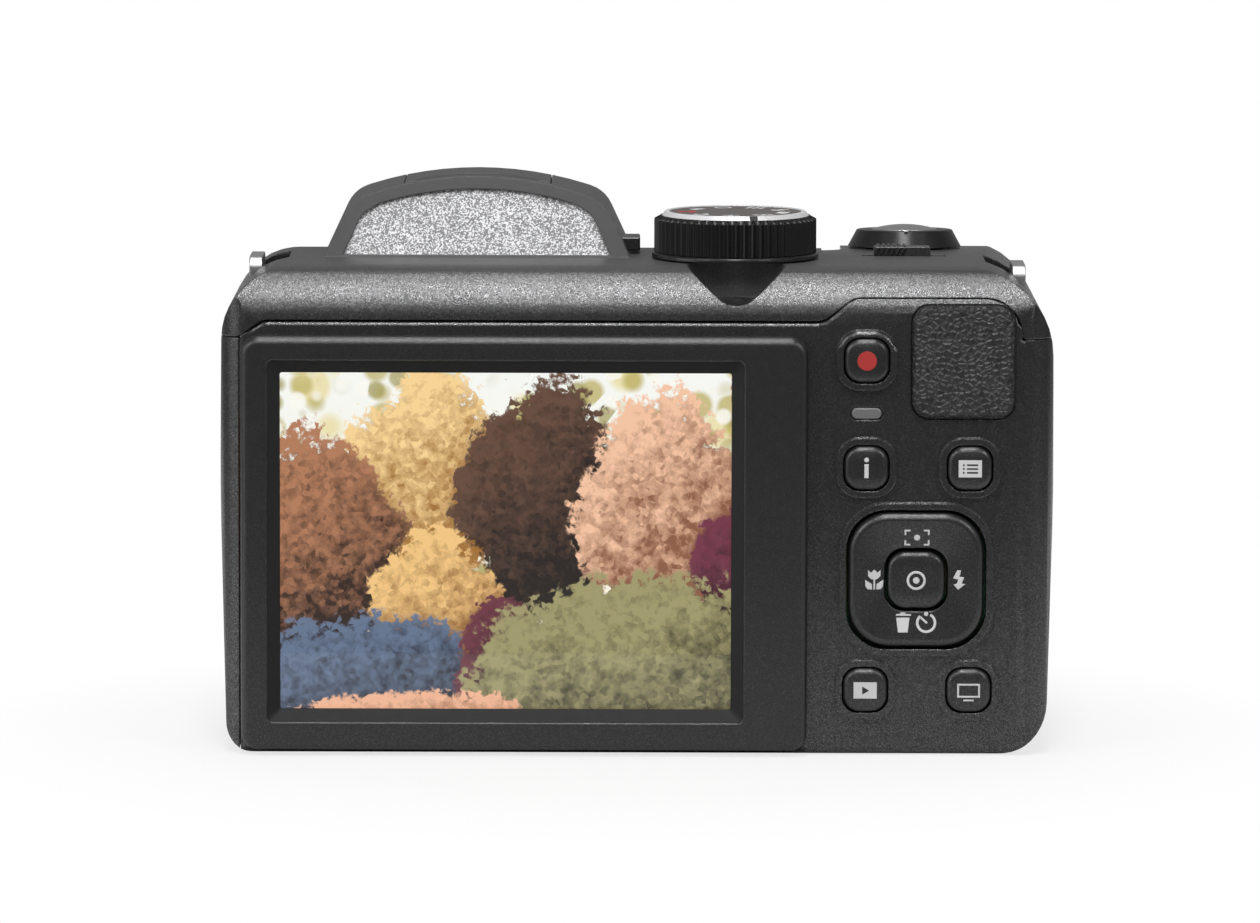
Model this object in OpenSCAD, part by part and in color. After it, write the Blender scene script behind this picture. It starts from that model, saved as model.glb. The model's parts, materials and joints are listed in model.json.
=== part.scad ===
// Bridge camera with a telescoping zoom lens, a pop-up flash and a rear screen.
// Millimetres. The origin is the mouth of the tripod socket on the base plane.
// +X is the user's right, +Y points out of the lens, +Z is up.

/* [Body] */
// Height of the top deck above the base
body_h = 66; // [65:0.5:70]
// Depth from the rear face to the front face
body_d = 36.5; // [36:0.5:40]
// Distance of the tripod socket ahead of the rear face
socket_back = 19.5; // [19:0.1:20.5]
// Wall thickness of the covers
wall = 1.8; // [1.6:0.1:2]
// Radius of the rear shoulder under the deck
shoulder_r = 7; // [5:0.5:8]
// Width of the hand grip
grip_w = 28; // [27:0.5:29]
// Reach of the grip in front of the front face
grip_reach = 22; // [20:0.5:26]
// Open line between neighbouring covers
seam_gap = 0.15; // [0.1:0.05:0.25]

/* [Flash hump] */
// Width of the hump between its top corners
hump_w = 35; // [33:0.5:37]
// Height of the hump above the deck
hump_h = 10.9; // [10.5:0.1:13]
// Forward lean of the hump's rear face
hump_lean = 14; // [8:0.5:16]
// Width of the flash head between the hump cheeks
flash_w = 20; // [16:0.5:22]

/* [Screen] */
// Width of the visible picture
screen_w = 60.96; // [58:0.1:62]
// Rise of the bezel above the rear face
bezel_rise = 2.5; // [2.2:0.1:3.5]
// Width of the bezel frame left of the picture
bezel_left = 5.3; // [5:0.1:7]
// Width of the bezel frame right of the picture
bezel_right = 10.3; // [9:0.1:11]
// Height of the bezel frame under the picture
bezel_low = 5.6; // [5:0.1:7]
// Height of the bezel frame over the picture
bezel_top = 4.98; // [4.5:0.02:6]
// Distance of the bezel from the left side of the body
bezel_inset = 3; // [2.8:0.1:4]
// Width of the control panel right of the bezel
panel_w = 33.44; // [32:0.02:36]

/* [Lens] */
// Height of the fixed lens ring above the base
lens_low = 2.5; // [2:0.1:4]
// Height of the deck above the fixed lens ring
lens_over = 1.5; // [1:0.1:3]
// Distance of the fixed lens ring from the left side of the body
lens_side = 3.5; // [3:0.1:5]
// Reach of the fixed lens ring in front of the front face
lens_reach = 25; // [22:0.5:30]
// Wall thickness of the lens barrels
barrel_wall = 2.2; // [1.8:0.1:2.6]
// Radial gap between telescoping barrels
barrel_gap = 0.3; // [0.2:0.05:0.4]

/* [Controls] */
// Side of a small rear button
button_s = 6; // [5.4:0.1:6.4]
// Travel of the rear buttons
button_travel = 0.5; // [0.3:0.05:0.5]
// Side of the four-way pad
pad_s = 18.4; // [17:0.1:19]
// Side of the set button
set_s = 7.7; // [7:0.1:8]
// Radius of the mode dial
dial_r = 11.4; // [10:0.1:12]
// Height of the mode dial
dial_h = 6.2; // [5:0.1:7]
// Radius of the shutter button
shutter_r = 4.6; // [4:0.1:4.8]
// Travel of the shutter button
shutter_travel = 1.2; // [0.8:0.1:1.4]
// Length of the power slider
slider_w = 7.7; // [6:0.1:8]
// Travel of the power slider
slider_travel = 1.8; // [1:0.1:2]

/* [Power and data] */
// Thickness of the battery
battery_t = 10; // [8:0.5:10.5]
// Width of the battery
battery_w = 29; // [26:0.5:29.5]
// Length of the battery
battery_l = 40; // [36:0.5:44]
// Height of the port cover
port_h = 24.5; // [22:0.5:26]
// Width of the port cover
port_w = 12; // [11:0.5:13]
// Radius of the tripod thread
tripod_r = 3.175; // [3.175:0.001:3.2]
// Depth of the tripod thread
tripod_l = 5.5; // [4.5:0.5:6]

/* [Fits] */
// Radial running fit of pins and shafts
run_fit = 0.05; // [0.02:0.01:0.08]
// Gap round a piece that moves in its opening
clear = 0.3; // [0.25:0.05:0.35]
// Gap between a piece and its seat
seat = 0.1; // [0.05:0.05:0.15]

/* [Hidden] */
$fn = 96;
arc_step = 9;
bezel_w = bezel_left + screen_w + bezel_right;
body_w = bezel_inset + bezel_w + panel_w;
half_w = body_w / 2;
rear_y = -socket_back;
front_y = rear_y + body_d;
grip_y = front_y + grip_reach;
far = 120;

// Arcs worked out from corner points: soft() rounds each corner of an outline by its own radius.
function unit(v) = v / norm(v);
function turn(a, b) = (b - a + 900) % 360 - 180;
function arc_points(c, r, a, d, n) = [for (i = [0:n]) c + r * [cos(a + d * i / n), sin(a + d * i / n)]];
function arc_from(c, s, e, r) =
    let (a = atan2(s.y, s.x), d = turn(a, atan2(e.y, e.x)), n = max(2, ceil(abs(d) / arc_step)))
    arc_points(c, r, a, d, n);
function corner(a, p, b, r) = r <= 0 ? [p] :
    let (u = unit(a - p), v = unit(b - p), half = acos(u * v) / 2)
    let (c = p + unit(u + v) * r / sin(half), t = r / tan(half))
    arc_from(c, p + u * t - c, p + v * t - c, r);
function soft(p, r) = let (n = len(p))
    [for (i = [0:n - 1]) each corner(p[(i + n - 1) % n], p[i], p[(i + 1) % n], r[i])];
function soft_rect(w, h, r) =
    soft([[-w / 2, -h / 2], [w / 2, -h / 2], [w / 2, h / 2], [-w / 2, h / 2]], [r, r, r, r]);
// Wavy rim of a knurled wheel: each rib stands out between two valleys.
function ribs(r, depth, count) =
    [for (i = [0:2 * count - 1]) let (a = 180 * (i + 0.5) / count)
        (r - (i % 2 == 0 ? 0 : depth)) * [cos(a), sin(a)]];

module along_x(x0, x1) { translate([x0, 0, 0]) rotate([90, 0, 90]) linear_extrude(x1 - x0) children(); }
module along_y(y0, y1) { translate([0, y1, 0]) rotate([90, 0, 0]) linear_extrude(y1 - y0) children(); }
module along_z(z0, z1) { translate([0, 0, z0]) linear_extrude(z1 - z0) children(); }
module slab(x, y, z) { translate([x[0], y[0], z[0]]) cube([x[1] - x[0], y[1] - y[0], z[1] - z[0]]); }
module rod_x(p, r, x) { along_x(x[0], x[1]) translate(p) circle(r); }
module rod_y(p, r, y) { along_y(y[0], y[1]) translate(p) circle(r); }
module rod_z(p, r, z) { along_z(z[0], z[1]) translate(p) circle(r); }
module tube_y(p, ro, ri, y) { along_y(y[0], y[1]) translate(p) difference() { circle(ro); circle(ri); } }
module plate_y(p, w, h, r, y) { along_y(y[0], y[1]) translate(p) polygon(soft_rect(w, h, r)); }

// Outlines of the body, drawn in by i for the inside of the wall.
top_left_r = 10;
top_right_r = 12;
foot_left_r = 4;
foot_right_r = 7;
edge_r = 1.5;
brow_r = 3;
bow_r = 300;
waist_z = 0.55 * body_h;
function front_outline(i) = soft(
    [[-half_w + 0.9 + i, i], [half_w - 0.9 - i, i], [half_w - i, waist_z],
     [half_w - 0.3 - i, body_h - i], [-half_w + 0.3 + i, body_h - i], [-half_w + i, waist_z]],
    [foot_left_r - i, foot_right_r - i, bow_r, top_right_r - i, top_left_r - i, bow_r]);
function side_outline(i) = soft(
    [[rear_y + i, i], [front_y - i, i], [front_y - i, body_h - i], [rear_y + i, body_h - i]],
    [max(edge_r - i, 0.3), max(edge_r - i, 0.3), brow_r - i, shoulder_r - i]);
plan_over = 0.1;
plan_r = 5;
function plan_outline(i) = let (w = half_w + plan_over - i) soft(
    [[-w, rear_y + i], [w, rear_y + i], [w, front_y - i], [-w, front_y - i]],
    [plan_r - i, plan_r - i, plan_r - i, 8 - i]);
// Grip: its plan flares into the front face, and its top falls towards the front.
grip_x = half_w - grip_w;
slope = 2;
slope_y = rear_y + 20.5;
grip_front_z = 0.58 * body_h;
grip_brow_r = 5.5;
function slope_z(y) = body_h - (y - slope_y) * tan(slope);
function grip_side(i) = soft(
    [[slope_y, i], [grip_y - 4 - i, i], [grip_y - i, grip_front_z],
     [grip_y - 4.5 - i, slope_z(grip_y - 4.5) - i], [slope_y, body_h - i]],
    [0, 3 - i, 25, grip_brow_r - i, 0]);
function grip_plan(i) = let (w = half_w + plan_over - i, x = grip_x + i) soft(
    [[x - 7, slope_y], [w, slope_y], [w, grip_y - i], [x, grip_y - i], [x, front_y + 0.6 - i],
     [x - 7, front_y - 0.6 - i]],
    [0, 0, 8 - i, 9 - i, 4 + i, 0]);
module body_form(i) {
    difference() {
        intersection() {
            along_y(-far, far) polygon(front_outline(i));
            union() {
                intersection() {
                    along_x(-far, far) polygon(side_outline(i));
                    along_z(-far, far) polygon(plan_outline(i));
                }
                intersection() {
                    along_x(-far, far) polygon(grip_side(i));
                    along_z(-far, far) polygon(grip_plan(i));
                }
            }
        }
        translate([grip_x - 3 - i, slope_y, body_h - i]) rotate([-slope, 0, 0]) cube([far, far, 20]);
    }
}

// Flash hump over the lens: a crowned top, soft corners and flared sides.
lens_r = (body_h - lens_low - lens_over) / 2;
lens_x = -half_w + lens_side + lens_r;
lens_z = lens_low + lens_r;
crown_r = 46;
hump_rear = rear_y + 17.5;
hump_front = front_y + 4;
hump_top = body_h + hump_h;
hump_sink = 4;
hump_flank = 25;
hump_r = 5;
function hump_back(z) = hump_rear + (z - body_h) * tan(hump_lean);
function crown_z(x) = hump_top - crown_r + sqrt(crown_r * crown_r - x * x);
hump_corner = crown_z(hump_w / 2);
function flank_x(z) = (hump_corner - z) * tan(hump_flank);
hump_foot = hump_w / 2 + flank_x(body_h);
function hump_outline(i) = let (w = hump_w / 2 - i, b = body_h - hump_sink, f = w + flank_x(b + i),
    z = hump_corner - i, n = 12, c = w - 2.4) soft(concat(
    [[-f, b], [f, b], [w, z]],
    [for (k = [0:n]) let (x = c - 2 * c * k / n) [x, crown_z(x) - i]],
    [[-w, z]]),
    concat([0, 0, hump_r - i], [for (k = [0:n]) 0], [hump_r - i]));
function hump_side(i) = soft(
    [[hump_back(body_h - hump_sink) + i, body_h - hump_sink], [front_y - 2 - i, body_h - hump_sink],
     [front_y - 2 - i, body_h - 0.9 + i], [hump_front - i, body_h + i], [hump_front - i, hump_top - 3.5 - i],
     [hump_front - 5 - i, hump_top + 1], [hump_back(hump_top + 1) + i, hump_top + 1]],
    [0, 0, 0, 1, 3, 0, 0]);
module hump_form(i) {
    intersection() {
        along_y(-far, far) translate([lens_x, 0]) polygon(hump_outline(i));
        along_x(-far, far) polygon(hump_side(i));
    }
}
module covers() {
    difference() {
        union() { body_form(0); hump_form(0); }
        body_form(wall);
        hump_form(wall);
    }
}

// Lines where the covers part.
seam_z = body_h - 7.1;
bezel_x0 = -half_w + bezel_inset;
bezel_x1 = bezel_x0 + bezel_w;
control_x = (bezel_x1 + half_w) / 2 - 1.8;
front_seam = seam_z - 2.4;
seam_line = [[-far, front_seam], [-half_w + 2.5, front_seam], [-half_w + 6, seam_z],
    [bezel_x1 + 2, seam_z], [bezel_x1 + 6.2, seam_z + 3.1], [half_w - 4.5, seam_z + 3.1],
    [half_w - 4.5, front_seam], [far, front_seam]];
seam_radii = [0, 2, 2, 3.2, 3.2, 5, 0.6, 0];
rear_split = rear_y + 6.5;
left_split = bezel_x0 - seam_gap;
module above_seam() {
    along_y(-far, rear_split + seam_gap) translate([0, seam_gap])
        polygon(soft(concat(seam_line, [[far, far], [-far, far]]), concat(seam_radii, [0, 0])));
    slab([-far, far], [rear_split + seam_gap, far], [front_seam + seam_gap, far]);
}
module rear_zone() {
    along_y(-far, rear_split)
        polygon(soft(concat(seam_line, [[far, -far], [-far, -far]]), concat(seam_radii, [0, 0])));
}

// Stack of planes from the rear face inwards.
inner_rear = rear_y + wall;
key_flange = 1.1;
flange_y = inner_rear + seat;
stem_end = flange_y + key_flange;
switch_h = 0.7;
key_board_y = stem_end + button_travel + seat + switch_h;
board_t = 1;
main_board_y = rear_y + 10.5;
chassis_y = rear_y + 15;
chassis_t = 1.2;
inner_front = front_y - wall;
cover_floor = wall;
boss_r = 2.2;
screw_r = 0.8;

// Places of the rear controls.
button_dx = 7;
top_row = [control_x - button_dx, 0.815 * body_h];
mid_row_z = 0.594 * body_h;
low_row_z = 0.136 * body_h;
pad_p = [control_x - 0.2, 0.364 * body_h];
led_p = [control_x - button_dx, 0.705 * body_h];
button_places = [top_row, [control_x - button_dx, mid_row_z], [control_x + button_dx, mid_row_z],
    [control_x - button_dx, low_row_z], [control_x + button_dx, low_row_z]];
button_r = 2.2;
ring_w = 0.9;
ring_rise = 0.8;
button_rise = 1.4;
led_w = 4.1;
led_h = 1.6;
pad_r = 5.5;
pad_rise = 1.2;
thumb_x = [control_x - 0.9, half_w - 5.5];
thumb_z = [0.695 * body_h, seam_z + 2.3];
thumb_p = [thumb_x[0] + thumb_x[1], thumb_z[0] + thumb_z[1]] / 2;
thumb_w = thumb_x[1] - thumb_x[0];
thumb_h = thumb_z[1] - thumb_z[0];
thumb_r = 2.4;
thumb_sink = 0.6;
thumb_rise = 1;

// Screen stack.
bezel_z = [0.7, seam_z - 1.9];
screen_h = bezel_z[1] - bezel_z[0] - bezel_low - bezel_top;
screen_p = [bezel_x0 + bezel_left + screen_w / 2, bezel_z[0] + bezel_low + screen_h / 2];
bezel_y = rear_y - bezel_rise;
window_t = 1;
window_rim = 2;
panel_t = 2.6;
panel_rim = 2.6;

// Lens stack.
lens_p = [lens_x, lens_z];
outer_r = lens_r - 4;
inner_r = outer_r - barrel_wall - barrel_gap;
glass_r = inner_r - barrel_wall - 2.6;
cam_t = 0.8;
housing_t = 1.2;
cam_r = outer_r + barrel_gap + cam_t;
housing_r = cam_r + barrel_gap + housing_t;
housing_y = chassis_y + chassis_t;
housing_floor = 1.2;
ring_y = front_y + lens_reach;
outer_y = [housing_y + housing_floor + 2, ring_y + 4];
inner_y = [outer_y[0] + 3, outer_y[1] + 5];
boss_x = [lens_x - housing_r + 0.6, lens_x + housing_r - 2.6];
boss_z = [11, front_seam - boss_r - clear];
bosses = [for (x = boss_x, z = boss_z) [x, z]];
motor_r = 4.5;
motor_p = [lens_x + housing_r + motor_r + 1.9, lens_z + 5];

// Top controls.
dial_gap = 3;
dial_p = [lens_x + hump_foot + dial_gap + dial_r, slope_y - 2.5];
dial_z = body_h + 0.2;
dial_shaft_r = 2.5;
notch_r = 6.7;
notch_p = [dial_p.x, rear_y + notch_r + 0.3];
notch_z = body_h - 5;
shutter_y = grip_y - 14;
shutter_p = [half_w - 19.1, shutter_y, slope_z(shutter_y)];
hub_r = shutter_r + 0.8;
zoom_r = shutter_r + 3.35;
zoom_h = 2.4;
slider_y = slope_y + 3.5;
slider_p = [shutter_p.x - 1, slider_y, slope_z(slider_y)];
slider_d = 4;
slot_d = 1.8;
slider_sink = 0.5;
slider_rise = 1.3;
slider_key = [-slider_w / 2 + 0.6, -slider_w / 2 + 4.4];
lug_x = half_w - 4.2;
lug_t = 1.8;
lug_y = [slope_y - 2, slope_y + 8];
lug_z = [body_h - 9, body_h - 0.1];
lug_drop = 0.9;
flash_gap = 0.15;
flash_back_r = 4.4;
flash_pivot = [hump_back(hump_top) + 6.7, hump_top - 4.6];
flash_pin_r = 0.75;
pocket_floor = body_h + 1.2;
flash_button_y = [hump_rear + 6, hump_rear + 12];
flash_button_z = [body_h + 0.4, body_h + 2.3];
flash_button_x = lens_x + hump_foot + 1.4;
flash_button_l = 6.8;

// Base and side pieces.
door_x = [grip_x + 2, grip_x + 18.3];
door_front = grip_y - 6.9;
door_y = [door_front - battery_w - 2.6, door_front];
door_z = [0.3, 1.8];
door_pin = [door_x[0] + 0.7, 1.3];
door_pin_r = 0.6;
knuckle_r = 1.1;
latch_y = (door_y[0] + door_y[1]) / 2;
cell_x = [door_x[1] - 1 - battery_t, door_x[1] - 1];
cell_y = [door_y[0] + 0.8, door_y[0] + 0.8 + battery_w];
cell_z = [3, 3 + battery_l];
card_t = 2.1;
card_x = [door_x[0] + 1.2, door_x[0] + 1.2 + card_t];
box_t = 0.8;
port_y = [rear_y + 10.5, rear_y + 10.5 + port_w];
port_z = [0.535 * body_h - port_h / 2, 0.535 * body_h + port_h / 2];
port_t = 1.1;
port_out = half_w - 0.2;
port_in = port_out - port_t;
port_pin = [port_out - 0.75, port_y[1] - 0.75];
port_pin_r = 0.35;
port_pad = 2.2;
data_y = [main_board_y + board_t, main_board_y + board_t + 3];
data_z = [0.53 * body_h - 4, 0.53 * body_h + 4];
data_x = [port_in - port_pad - 6, port_in - port_pad - seat];
cap_p = [grip_x - 4.5, front_y - 12.5];
cap_r = 4;
cap_top = 30;
speaker_r = 3.5;
insert_r = 5;
insert_top = tripod_l + 1.5;
base_screws = [for (x = [-half_w + 9.5, cap_p.x], y = [rear_y + 10, front_y - 5]) [x, y]];
head_r = 1.5;
head_h = 0.8;
post_h = 6;
skin_t = 0.9;
skin_x = [grip_x - 1, far];
skin_y = [front_y + 5, far];
skin_z = [7, seam_z - 7];
lamp_p = [grip_x - 9.5, seam_z - 5];
lamp_r = 2.2;
key_gap = 0.15;
key_posts = [[bezel_x1 + 3.4, pad_p.y - 8.5], [half_w - 7, pad_p.y - 8.5], [half_w - 7, mid_row_z + 6],
    [control_x, mid_row_z + 6]];
pad_back = inner_rear + seat;
pivot_y = pad_back + 0.4;
pivot_t = 0.8;
pivot_r = 6.6;
pivot_bore = 5.2;
nub_r = 0.6;
rock_r = 0.5;
rock_y = pivot_y + pivot_t + seat + rock_r;
nub_at = (pivot_r + pivot_bore) / 2;
actuator_at = pivot_r + 1.2;
board_posts = [for (x = [boss_x[0] + 7, boss_x[1] - 5], z = [boss_z[0] + 4.5, boss_z[1] - 2.5]) [x, z]];

// Frame at a point of the sloping grip deck, with its Z square to the deck.
module on_slope(p) { translate(p) rotate([-slope, 0, 0]) children(); }
// Piece turned about an axis along Y, from [radius, y] points.
module turned_y(p, profile) {
    translate([p.x, 0, p.y]) rotate([-90, 0, 0]) rotate_extrude() polygon(profile);
}
module post_y(p, r, y, hole) {
    difference() {
        rod_y(p, r, y);
        rod_y(p, hole, [y[0] - 1, y[1] + 1]);
    }
}

module lens_opening() { rod_y(lens_p, housing_r + seat, [inner_front - 3, far]); }
module skin_zone(gap) {
    slab([skin_x[0] - gap, far], [skin_y[0] - gap, far], [skin_z[0] - gap, skin_z[1] + gap]);
}
module port_recess() {
    slab([port_in - seat, far], [port_y[0] - clear, port_y[1] + clear],
        [port_z[0] - clear, port_z[1] + clear]);
    rod_z(port_pin, port_out - port_pin.x + 0.25, [port_z[0] - clear, port_z[1] + clear]);
    rod_z(port_pin, port_pin_r + run_fit, [port_z[0] - 1.2, port_z[1] + 1.2]);
    slab([data_x[0], far], [data_y[0] - seat, data_y[1] + seat], [data_z[0] - seat, data_z[1] + seat]);
}
module door_opening() {
    slab([door_x[0] - 0.7, door_x[1] + clear], [door_y[0] - clear, door_y[1] + clear], [-1, wall + 1]);
}
module front_cover() {
    color([0.16, 0.16, 0.17]) difference() {
        union() {
            difference() {
                intersection() { covers(); slab([-far, far], [-far, far], [-far, front_seam]); }
                slab([left_split - seam_gap, far], [-far, rear_split + seam_gap], [-far, far]);
                difference() { skin_zone(seat); body_form(skin_t + 0.02); }
            }
            for (p = bosses) rod_y(p, boss_r, [housing_y, inner_front + 0.5]);
            for (p = base_screws) rod_z(p, head_r + 1, [0.5, post_h]);
            rod_z([0, 0], insert_r + 1.6, [0.5, insert_top - 1]);
            for (y = [door_y[0] - clear - 1.6, door_y[1] + clear])
                slab([door_pin.x - 1.3, door_pin.x + 1.3], [y, y + 1.6], [0.5, 3]);
            slab([port_in - port_pad, port_in + 0.2], [port_y[0] - 1.4, port_y[1] + 1.4],
                [port_z[0] - 1.8, port_z[1] + 1.8]);
        }
        lens_opening();
        for (p = bosses) rod_y(p, screw_r + run_fit, [housing_y - 1, housing_y + post_h]);
        for (p = base_screws) {
            rod_z(p, head_r + seat, [-1, head_h + 0.2]);
            rod_z(p, screw_r + run_fit, [-1, post_h - 1]);
        }
        rod_z([0, 0], insert_r + run_fit, [-1, far]);
        rod_y(door_pin, door_pin_r + run_fit, [door_y[0] - clear - 1, door_y[1] + clear + 1]);
        rod_y(lamp_p, lamp_r + seat, [inner_front - 1, far]);
        door_opening();
        port_recess();
    }
}
module rear_button_ring(p, s, r) {
    w = s + 2 * key_gap + 2 * ring_w;
    plate_y(p, w, w, r + ring_w, [rear_y - ring_rise, rear_y + 0.5]);
}
module rear_cover() {
    color([0.17, 0.17, 0.18]) difference() {
        union() {
            intersection() { covers(); rear_zone(); slab([left_split, far], [-far, far], [-far, far]); }
            for (p = button_places) rear_button_ring(p, button_s, button_r);
            rear_button_ring(pad_p, pad_s + 2 * (clear - key_gap), pad_r);
            for (p = key_posts) post_y(p, 1.6, [inner_rear - 0.5, key_board_y], screw_r);
        }
        for (p = button_places)
            plate_y(p, button_s + 2 * key_gap, button_s + 2 * key_gap, button_r, [-far, inner_rear + 0.01]);
        plate_y(pad_p, pad_s + 2 * clear, pad_s + 2 * clear, pad_r, [-far, inner_rear + 0.01]);
        plate_y(led_p, led_w + 2 * seat, led_h + 2 * seat, led_h / 2, [-far, inner_rear + 0.01]);
        plate_y(screen_p, screen_w + 2 * panel_rim + 2 * seat, screen_h + 2 * panel_rim + 2 * seat, 1,
            [-far, inner_rear + 0.01]);
        plate_y(thumb_p, thumb_w + 2 * seat, thumb_h + 2 * seat, thumb_r, [-far, rear_y + thumb_sink]);
    }
}
module flash_pocket() {
    w = flash_w / 2 + flash_gap;
    y = flash_pivot.x - flash_back_r - flash_gap;
    slab([lens_x - w, lens_x + w], [y, hump_front - wall], [pocket_floor, far]);
    slab([lens_x - w, lens_x + w], [y, far], [flash_pivot.y - 0.3, far]);
}
module lug_well(side, z) {
    x = side * lug_x;
    slab([x - lug_t / 2 - seat, x + lug_t / 2 + seat], [lug_y[0] - seat, lug_y[1] + seat], [-far, far]);
    slab([min(x, x - side * 4.6), max(x, x - side * 4.6)], [lug_y[0] - 0.5, lug_y[1] + 0.5], [z - 4, far]);
}
module lug_liner(side, z) {
    x = side * (lug_x - 2.3);
    intersection() {
        slab([x - 4.6, x + 4.6], [lug_y[0] - 1.7, lug_y[1] + 1.7], [z - 5.2, far]);
        body_form(0);
        above_seam();
    }
}
module slider_slot() {
    on_slope(slider_p) {
        slab([-slider_w / 2 - 1.7, slider_w / 2 + slider_travel + clear],
            [-slider_d / 2 - clear, slider_d / 2 + clear], [-slider_sink, 5]);
        slab([slider_key[0] - clear, slider_key[1] + slider_travel + clear], [-slot_d / 2, slot_d / 2], [-3, 5]);
    }
}
release_posts = [for (x = [-6, 7], y = [-4, 4]) [x, y]];
release_z = -3.4 - shutter_travel - 2 * seat;
module top_cover() {
    color([0.18, 0.18, 0.19]) difference() {
        union() {
            difference() {
                intersection() { covers(); above_seam(); }
                hump_panel_recess();
            }
            intersection() {
                rod_z(notch_p, notch_r + wall, [notch_z - wall, far]);
                body_form(0);
                above_seam();
            }
            intersection() {
                slab([lens_x - flash_w / 2 - flash_gap - 1, lens_x + flash_w / 2 + flash_gap + 1],
                    [flash_pivot.x - flash_back_r - flash_gap - 1.2, hump_front], [pocket_floor - 1.2, far]);
                hump_form(0);
            }
            lug_liner(-1, lug_z[1]);
            lug_liner(1, lug_z[1] - lug_drop);
            on_slope(shutter_p) for (p = release_posts) rod_z(p, 0.9, [release_z, -1]);
        }
        rod_z(notch_p, notch_r, [notch_z, far]);
        flash_pocket();
        rod_x(flash_pivot, flash_pin_r + run_fit, [lens_x - flash_w / 2 - 3, lens_x + flash_w / 2 + 3]);
        slab([flash_button_x - flash_button_l, flash_button_x + 1],
            [flash_button_y[0] - key_gap, flash_button_y[1] + key_gap],
            [flash_button_z[0] - key_gap, flash_button_z[1] + key_gap]);
        rod_z(dial_p, dial_shaft_r + run_fit, [body_h - 4, far]);
        on_slope(shutter_p) rod_z([0, 0], hub_r + run_fit, [-4, far]);
        slider_slot();
        lug_well(-1, lug_z[1]);
        lug_well(1, lug_z[1] - lug_drop);
        lens_opening();
    }
}
crest_rim = 1.7;
crest_foot = 0.3;
crest_sink = 0.6;
module hump_panel_recess() {
    intersection() {
        along_y(-far, far) translate([lens_x, 0]) polygon(hump_outline(crest_rim));
        along_x(-far, far) polygon([[-far, body_h + crest_foot],
            [hump_back(body_h + crest_foot) + crest_sink, body_h + crest_foot],
            [hump_back(far) + crest_sink, far], [-far, far]]);
    }
}
module grip_skin() {
    color([0.1, 0.1, 0.1]) intersection() {
        difference() { body_form(0); body_form(skin_t); }
        skin_zone(0);
    }
}
module thumb_pad() {
    color([0.12, 0.12, 0.12])
        plate_y(thumb_p, thumb_w, thumb_h, thumb_r, [rear_y - thumb_rise, rear_y + thumb_sink]);
}

// Screen bezel: the glass lies in a sunken frame with sloping sides.
slope_rim = [2.2, 1.5, 1.6, 1.2];
module screen_funnel(y0, y1) {
    w = screen_w / 2;
    h = screen_h / 2;
    o = slope_rim;
    translate([screen_p.x, 0, screen_p.y]) polyhedron(
        [[-w - o[0], y0, -h - o[2]], [w + o[1], y0, -h - o[2]],
         [w + o[1], y0, h + o[3]], [-w - o[0], y0, h + o[3]],
         [-w, y1, -h], [w, y1, -h], [w, y1, h], [-w, y1, h]],
        [[3, 2, 1, 0], [4, 5, 6, 7], [1, 5, 4, 0], [2, 6, 5, 1], [3, 7, 6, 2], [0, 4, 7, 3]]);
}
window_y = rear_y - window_t - seat;
module screen_bezel() {
    color([0.1, 0.1, 0.1]) difference() {
        plate_y([bezel_x0 + bezel_x1, bezel_z[0] + bezel_z[1]] / 2, bezel_w, bezel_z[1] - bezel_z[0], 2.4,
            [bezel_y, rear_y]);
        screen_funnel(bezel_y, window_y);
        plate_y(screen_p, screen_w + 2 * window_rim + 2 * seat, screen_h + 2 * window_rim + 2 * seat, 1,
            [window_y, rear_y + 1]);
    }
}
module screen_window() {
    color([0.3, 0.3, 0.32]) plate_y(screen_p, screen_w + 2 * window_rim, screen_h + 2 * window_rim, 0.9,
        [window_y, window_y + window_t]);
}
module screen_panel() {
    color([0.5, 0.55, 0.6]) plate_y(screen_p, screen_w + 2 * panel_rim, screen_h + 2 * panel_rim, 0.9,
        [rear_y, rear_y + panel_t]);
}

module rear_button(p) {
    plate_y(p, button_s, button_s, button_r, [rear_y - button_rise, stem_end]);
    plate_y(p, button_s + 1.6, button_s + 1.6, button_r, [flange_y, stem_end]);
}
module record_button() { color([0.16, 0.16, 0.17]) rear_button(button_places[0]); }
module info_button() { color([0.16, 0.16, 0.17]) rear_button(button_places[1]); }
module menu_button() { color([0.16, 0.16, 0.17]) rear_button(button_places[2]); }
module play_button() { color([0.16, 0.16, 0.17]) rear_button(button_places[3]); }
module display_button() { color([0.16, 0.16, 0.17]) rear_button(button_places[4]); }
module status_light() {
    color([0.5, 0.5, 0.5]) plate_y(led_p, led_w, led_h, led_h / 2 - 0.02, [rear_y - 0.1, inner_rear + 0.6]);
}
module four_way_pad() {
    color([0.15, 0.15, 0.16]) {
        difference() {
            plate_y(pad_p, pad_s, pad_s, pad_r, [rear_y - pad_rise, pad_back]);
            plate_y(pad_p, set_s + 2 * clear + 0.1, set_s + 2 * clear + 0.1, 2.6, [-far, far]);
        }
        for (z = [pad_p.y - nub_at, pad_p.y + nub_at])
            rod_z([pad_p.x, pivot_y - seat - rock_r], rock_r, [z - nub_r, z + nub_r]);
        for (d = [[1, 0], [-1, 0], [0, 1], [0, -1]])
            rod_y(pad_p + actuator_at * d, nub_r, [pad_back - 0.5, stem_end]);
    }
}
module pad_pivot_ring() { color("silver") tube_y(pad_p, pivot_r, pivot_bore, [pivot_y, pivot_y + pivot_t]); }
module set_button() {
    color([0.16, 0.16, 0.17]) plate_y(pad_p, set_s, set_s, 2.4, [rear_y - pad_rise - 0.3, stem_end]);
}
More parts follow.
